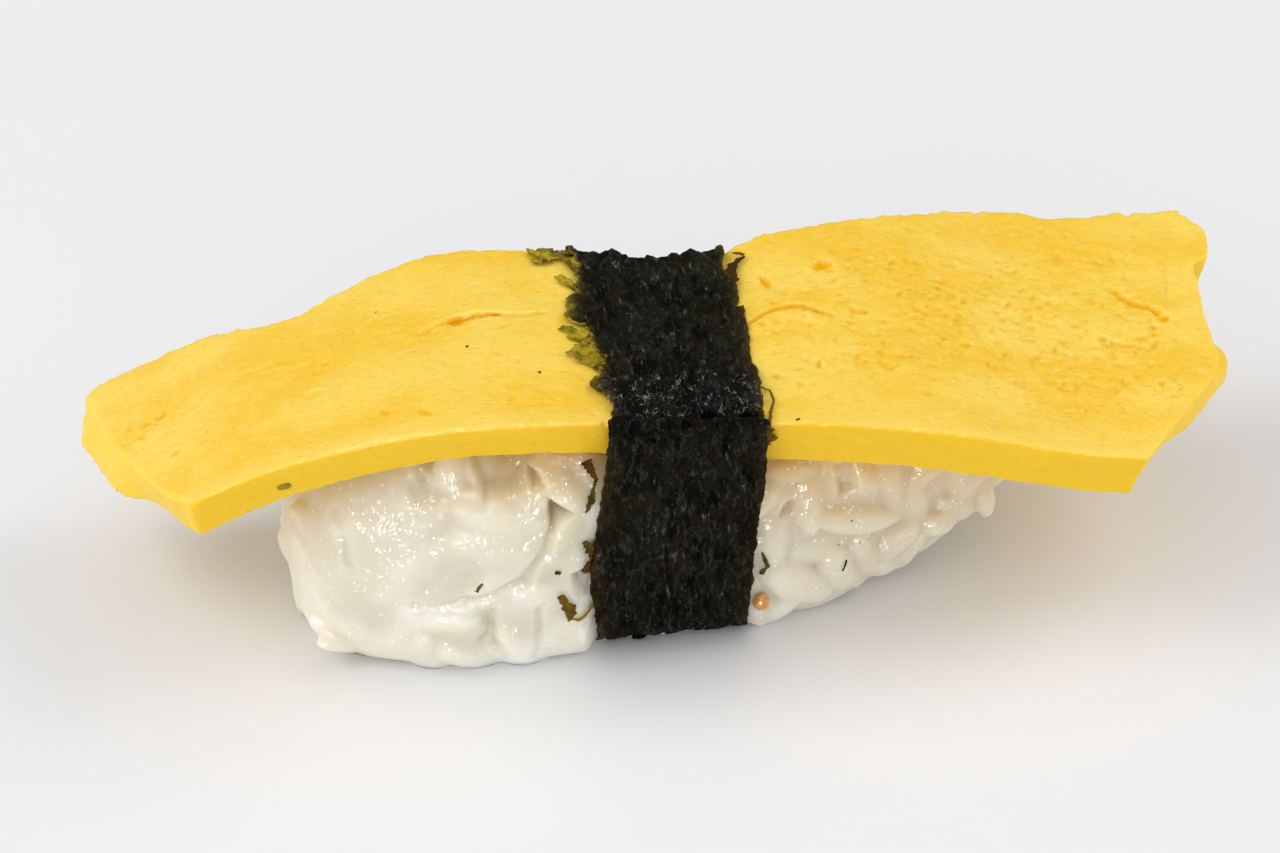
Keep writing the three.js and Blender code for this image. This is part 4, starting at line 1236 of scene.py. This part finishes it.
# specks: what they lie on, place, length, width, turn, how thin and how brown
specks = (
    ("egg", (-27.98, -8.78, 16.35), 1.05, 0.6, 5, 0.6, 0.0),
    ("egg", (-14.12, -0.79, 21.0), 0.26, 0.22, 0, 0.1, 0.5),
    ("egg", (-9.47, -4.63, 21.12), 0.24, 0.24, 0, 0.1, 0.3),
    ("egg", (7.61, -11.53, 20.1), 0.35, 0.22, 20, 0.2, 0.2),
    ("egg", (-19.9, 5.69, 20.0), 0.16, 0.14, 0, 0.1, 0.4),
    ("rice", (12.0, -9.85, 9.1), 0.17, 0.14, 0, 0.0, 0.1),
    ("rice", (11.2, -9.35, 6.6), 0.12, 0.10, 0, 0.1, 0.1),
    ("rice", (12.8, -9.5, 6.7), 0.12, 0.10, 40, 0.1, 0.1),
    ("rice", (17.7, -7.3, 3.4), 0.15, 0.13, 0, 0.0, 0.0),
    ("rice", (-7.2, -11.5, 8.5), 1.3, 0.8, 75, 0.0, 0.55),
    ("rice", (-3.6, -12.2, 0.4), 1.0, 0.7, 10, 0.0, 0.0),
)
bits = {
    "stripSteps": 9, "stripRows": 6, "stripThickness": 0.06, "curl": 0.35, "fray": 0.8,
    "beadPlace": (5.42, -10.77, 3.2), "beadRadius": 0.62,
}


def treeOf(piece):
    return BVHTree.FromObject(piece, bpy.context.evaluated_depsgraph_get())


def makeStrip(points, widths, tree, rise, thin, brown, seed):
    # a torn strip through the points, over the surface below it
    bpy.ops.mesh.primitive_grid_add(x_subdivisions=bits["stripSteps"] * (len(points) - 1),
                                    y_subdivisions=bits["stripRows"], size=2)
    piece = bpy.context.object
    piece.name = f"strip{seed}"
    grid = placesOf(piece) * mm
    share = (grid[:, 0] + 1) / 2 * (len(points) - 1)
    line = [np.interp(share, range(len(points)), column) for column in zip(*points)]
    width = np.interp(share, range(len(points)), widths)
    centres = np.array(line).T
    places = np.empty_like(centres)
    ragged, octaves = (4, 3) if thin < 0.5 else (2.2, 1)
    tears = np.column_stack((share * ragged, grid[:, 1] * 1.5, share * 0))
    fray = (1 - 0.6 * thin) * noiseAt(tears, 1.0, seed, octaves)
    lift = noiseAt(np.column_stack((share * 2, grid[:, 1], share * 0)), 1.0, seed + 40, 2)
    start, end = Vector(points[0]), Vector(points[-1])
    for index, centre in enumerate(centres):
        spot, out, _, _ = tree.find_nearest(Vector(centre) * mm)
        along = (end - start).normalized()
        aside = out.cross(along).normalized()
        v = grid[index, 1]
        reach = v * width[index] / 2 * (1 + bits["fray"] * fray[index])
        height = rise + width[index] * bits["curl"] * (0.3 * lift[index] + 0.35 * v * v)
        place = spot / mm + aside * reach + out * height
        # kept above the ground where that bulges
        spot, out, _, _ = tree.find_nearest(place * mm)
        short = 0.8 * rise - (place - spot / mm).dot(out)
        places[index] = place + out * short if 0 < short < 1.5 else place
    movePlaces(piece, places)
    editAll(piece)
    bpy.ops.mesh.normals_make_consistent(inside=False)
    bpy.ops.object.mode_set(mode="OBJECT")
    applyModifier(piece, "SOLIDIFY", thickness=bits["stripThickness"] * mm, offset=0)
    whole = np.ones(len(piece.data.vertices))
    paint(piece, "thin", whole * thin)
    paint(piece, "brown", whole * brown)
    return piece


def makeSpeck(place, length, width, turn, tree, thin, brown, seed):
    # a flattened crumb that lies in the surface
    bpy.ops.mesh.primitive_ico_sphere_add(subdivisions=3, radius=1)
    piece = bpy.context.object
    piece.name = f"speck{seed}"
    spot, out, _, _ = tree.find_nearest(Vector(place) * mm)
    lie = Vector((1, 0, 0)) - out * out.x
    lie.rotate(Matrix.Rotation(math.radians(turn), 3, out))
    lie.normalize()
    side = out.cross(lie)
    shape = placesOf(piece) * mm
    shape *= (1 + 0.35 * noiseAt(shape, 0.8, seed, 2))[:, None]
    flat = shape * np.array((length / 2, width / 2, width / 5))
    places = np.array(spot / mm) + flat @ np.array((lie, side, out))
    movePlaces(piece, places)
    paint(piece, "thin", np.full(len(places), thin))
    paint(piece, "brown", np.full(len(places), brown))
    return piece


def joinBits(pieces, name):
    onlySelect(pieces[0])
    for piece in pieces:
        piece.select_set(True)
    bpy.ops.object.join()
    joined = bpy.context.object
    joined.name = name
    return joined


def makeShredsAndSpecks():
    trees = {"egg": treeOf(omelettePiece), "rice": treeOf(ricePiece)}
    pieces = []
    for seed, (ground, points, widths, rise, thin, brown) in enumerate(strips):
        pieces.append(makeStrip(points, widths, trees[ground], rise, thin, brown, seed))
    finishPiece(joinBits(pieces, "seaweed_shreds"), seaweedMaterial("seaweedShreds"))
    pieces = []
    for seed, (ground, place, length, width, turn, thin, brown) in enumerate(specks):
        pieces.append(makeSpeck(place, length, width, turn, trees[ground], thin, brown, seed))
    finishPiece(joinBits(pieces, "seaweed_specks"), seaweedMaterial("seaweedSpecks"))


def roeMaterial():
    material, tree, shader = newMaterial("orangeRoe")
    mottle = noiseNode(tree, objectPlace(tree), 1.6, 2.0)
    colour = blendColours(tree, spread(tree, mottle, 0.35, 0.65), (0.62, 0.26, 0.022), (0.80, 0.40, 0.055))
    tree.links.new(colour, shader.inputs["Base Color"])
    setShader(shader, Roughness=0.16, Subsurface_Weight=0.8, Subsurface_Radius=(1.0, 0.5, 0.15),
              Subsurface_Scale=0.5 * mm, Coat_Weight=1.0, Coat_Roughness=0.05)
    return material


def makeRoeBead():
    bpy.ops.mesh.primitive_uv_sphere_add(segments=48, ring_count=32, radius=bits["beadRadius"] * mm,
                                         location=[v * mm for v in bits["beadPlace"]])
    bead = bpy.context.object
    bead.name = "roe_bead"
    onlySelect(bead)
    bpy.ops.object.transform_apply(location=True)
    orderFaces(bead)
    roughen(bead, cloudTexture("roeSkin", 0.7), 0.06)
    finishPiece(bead, roeMaterial())


makeShredsAndSpecks()
makeRoeBead()
print("small things ready")
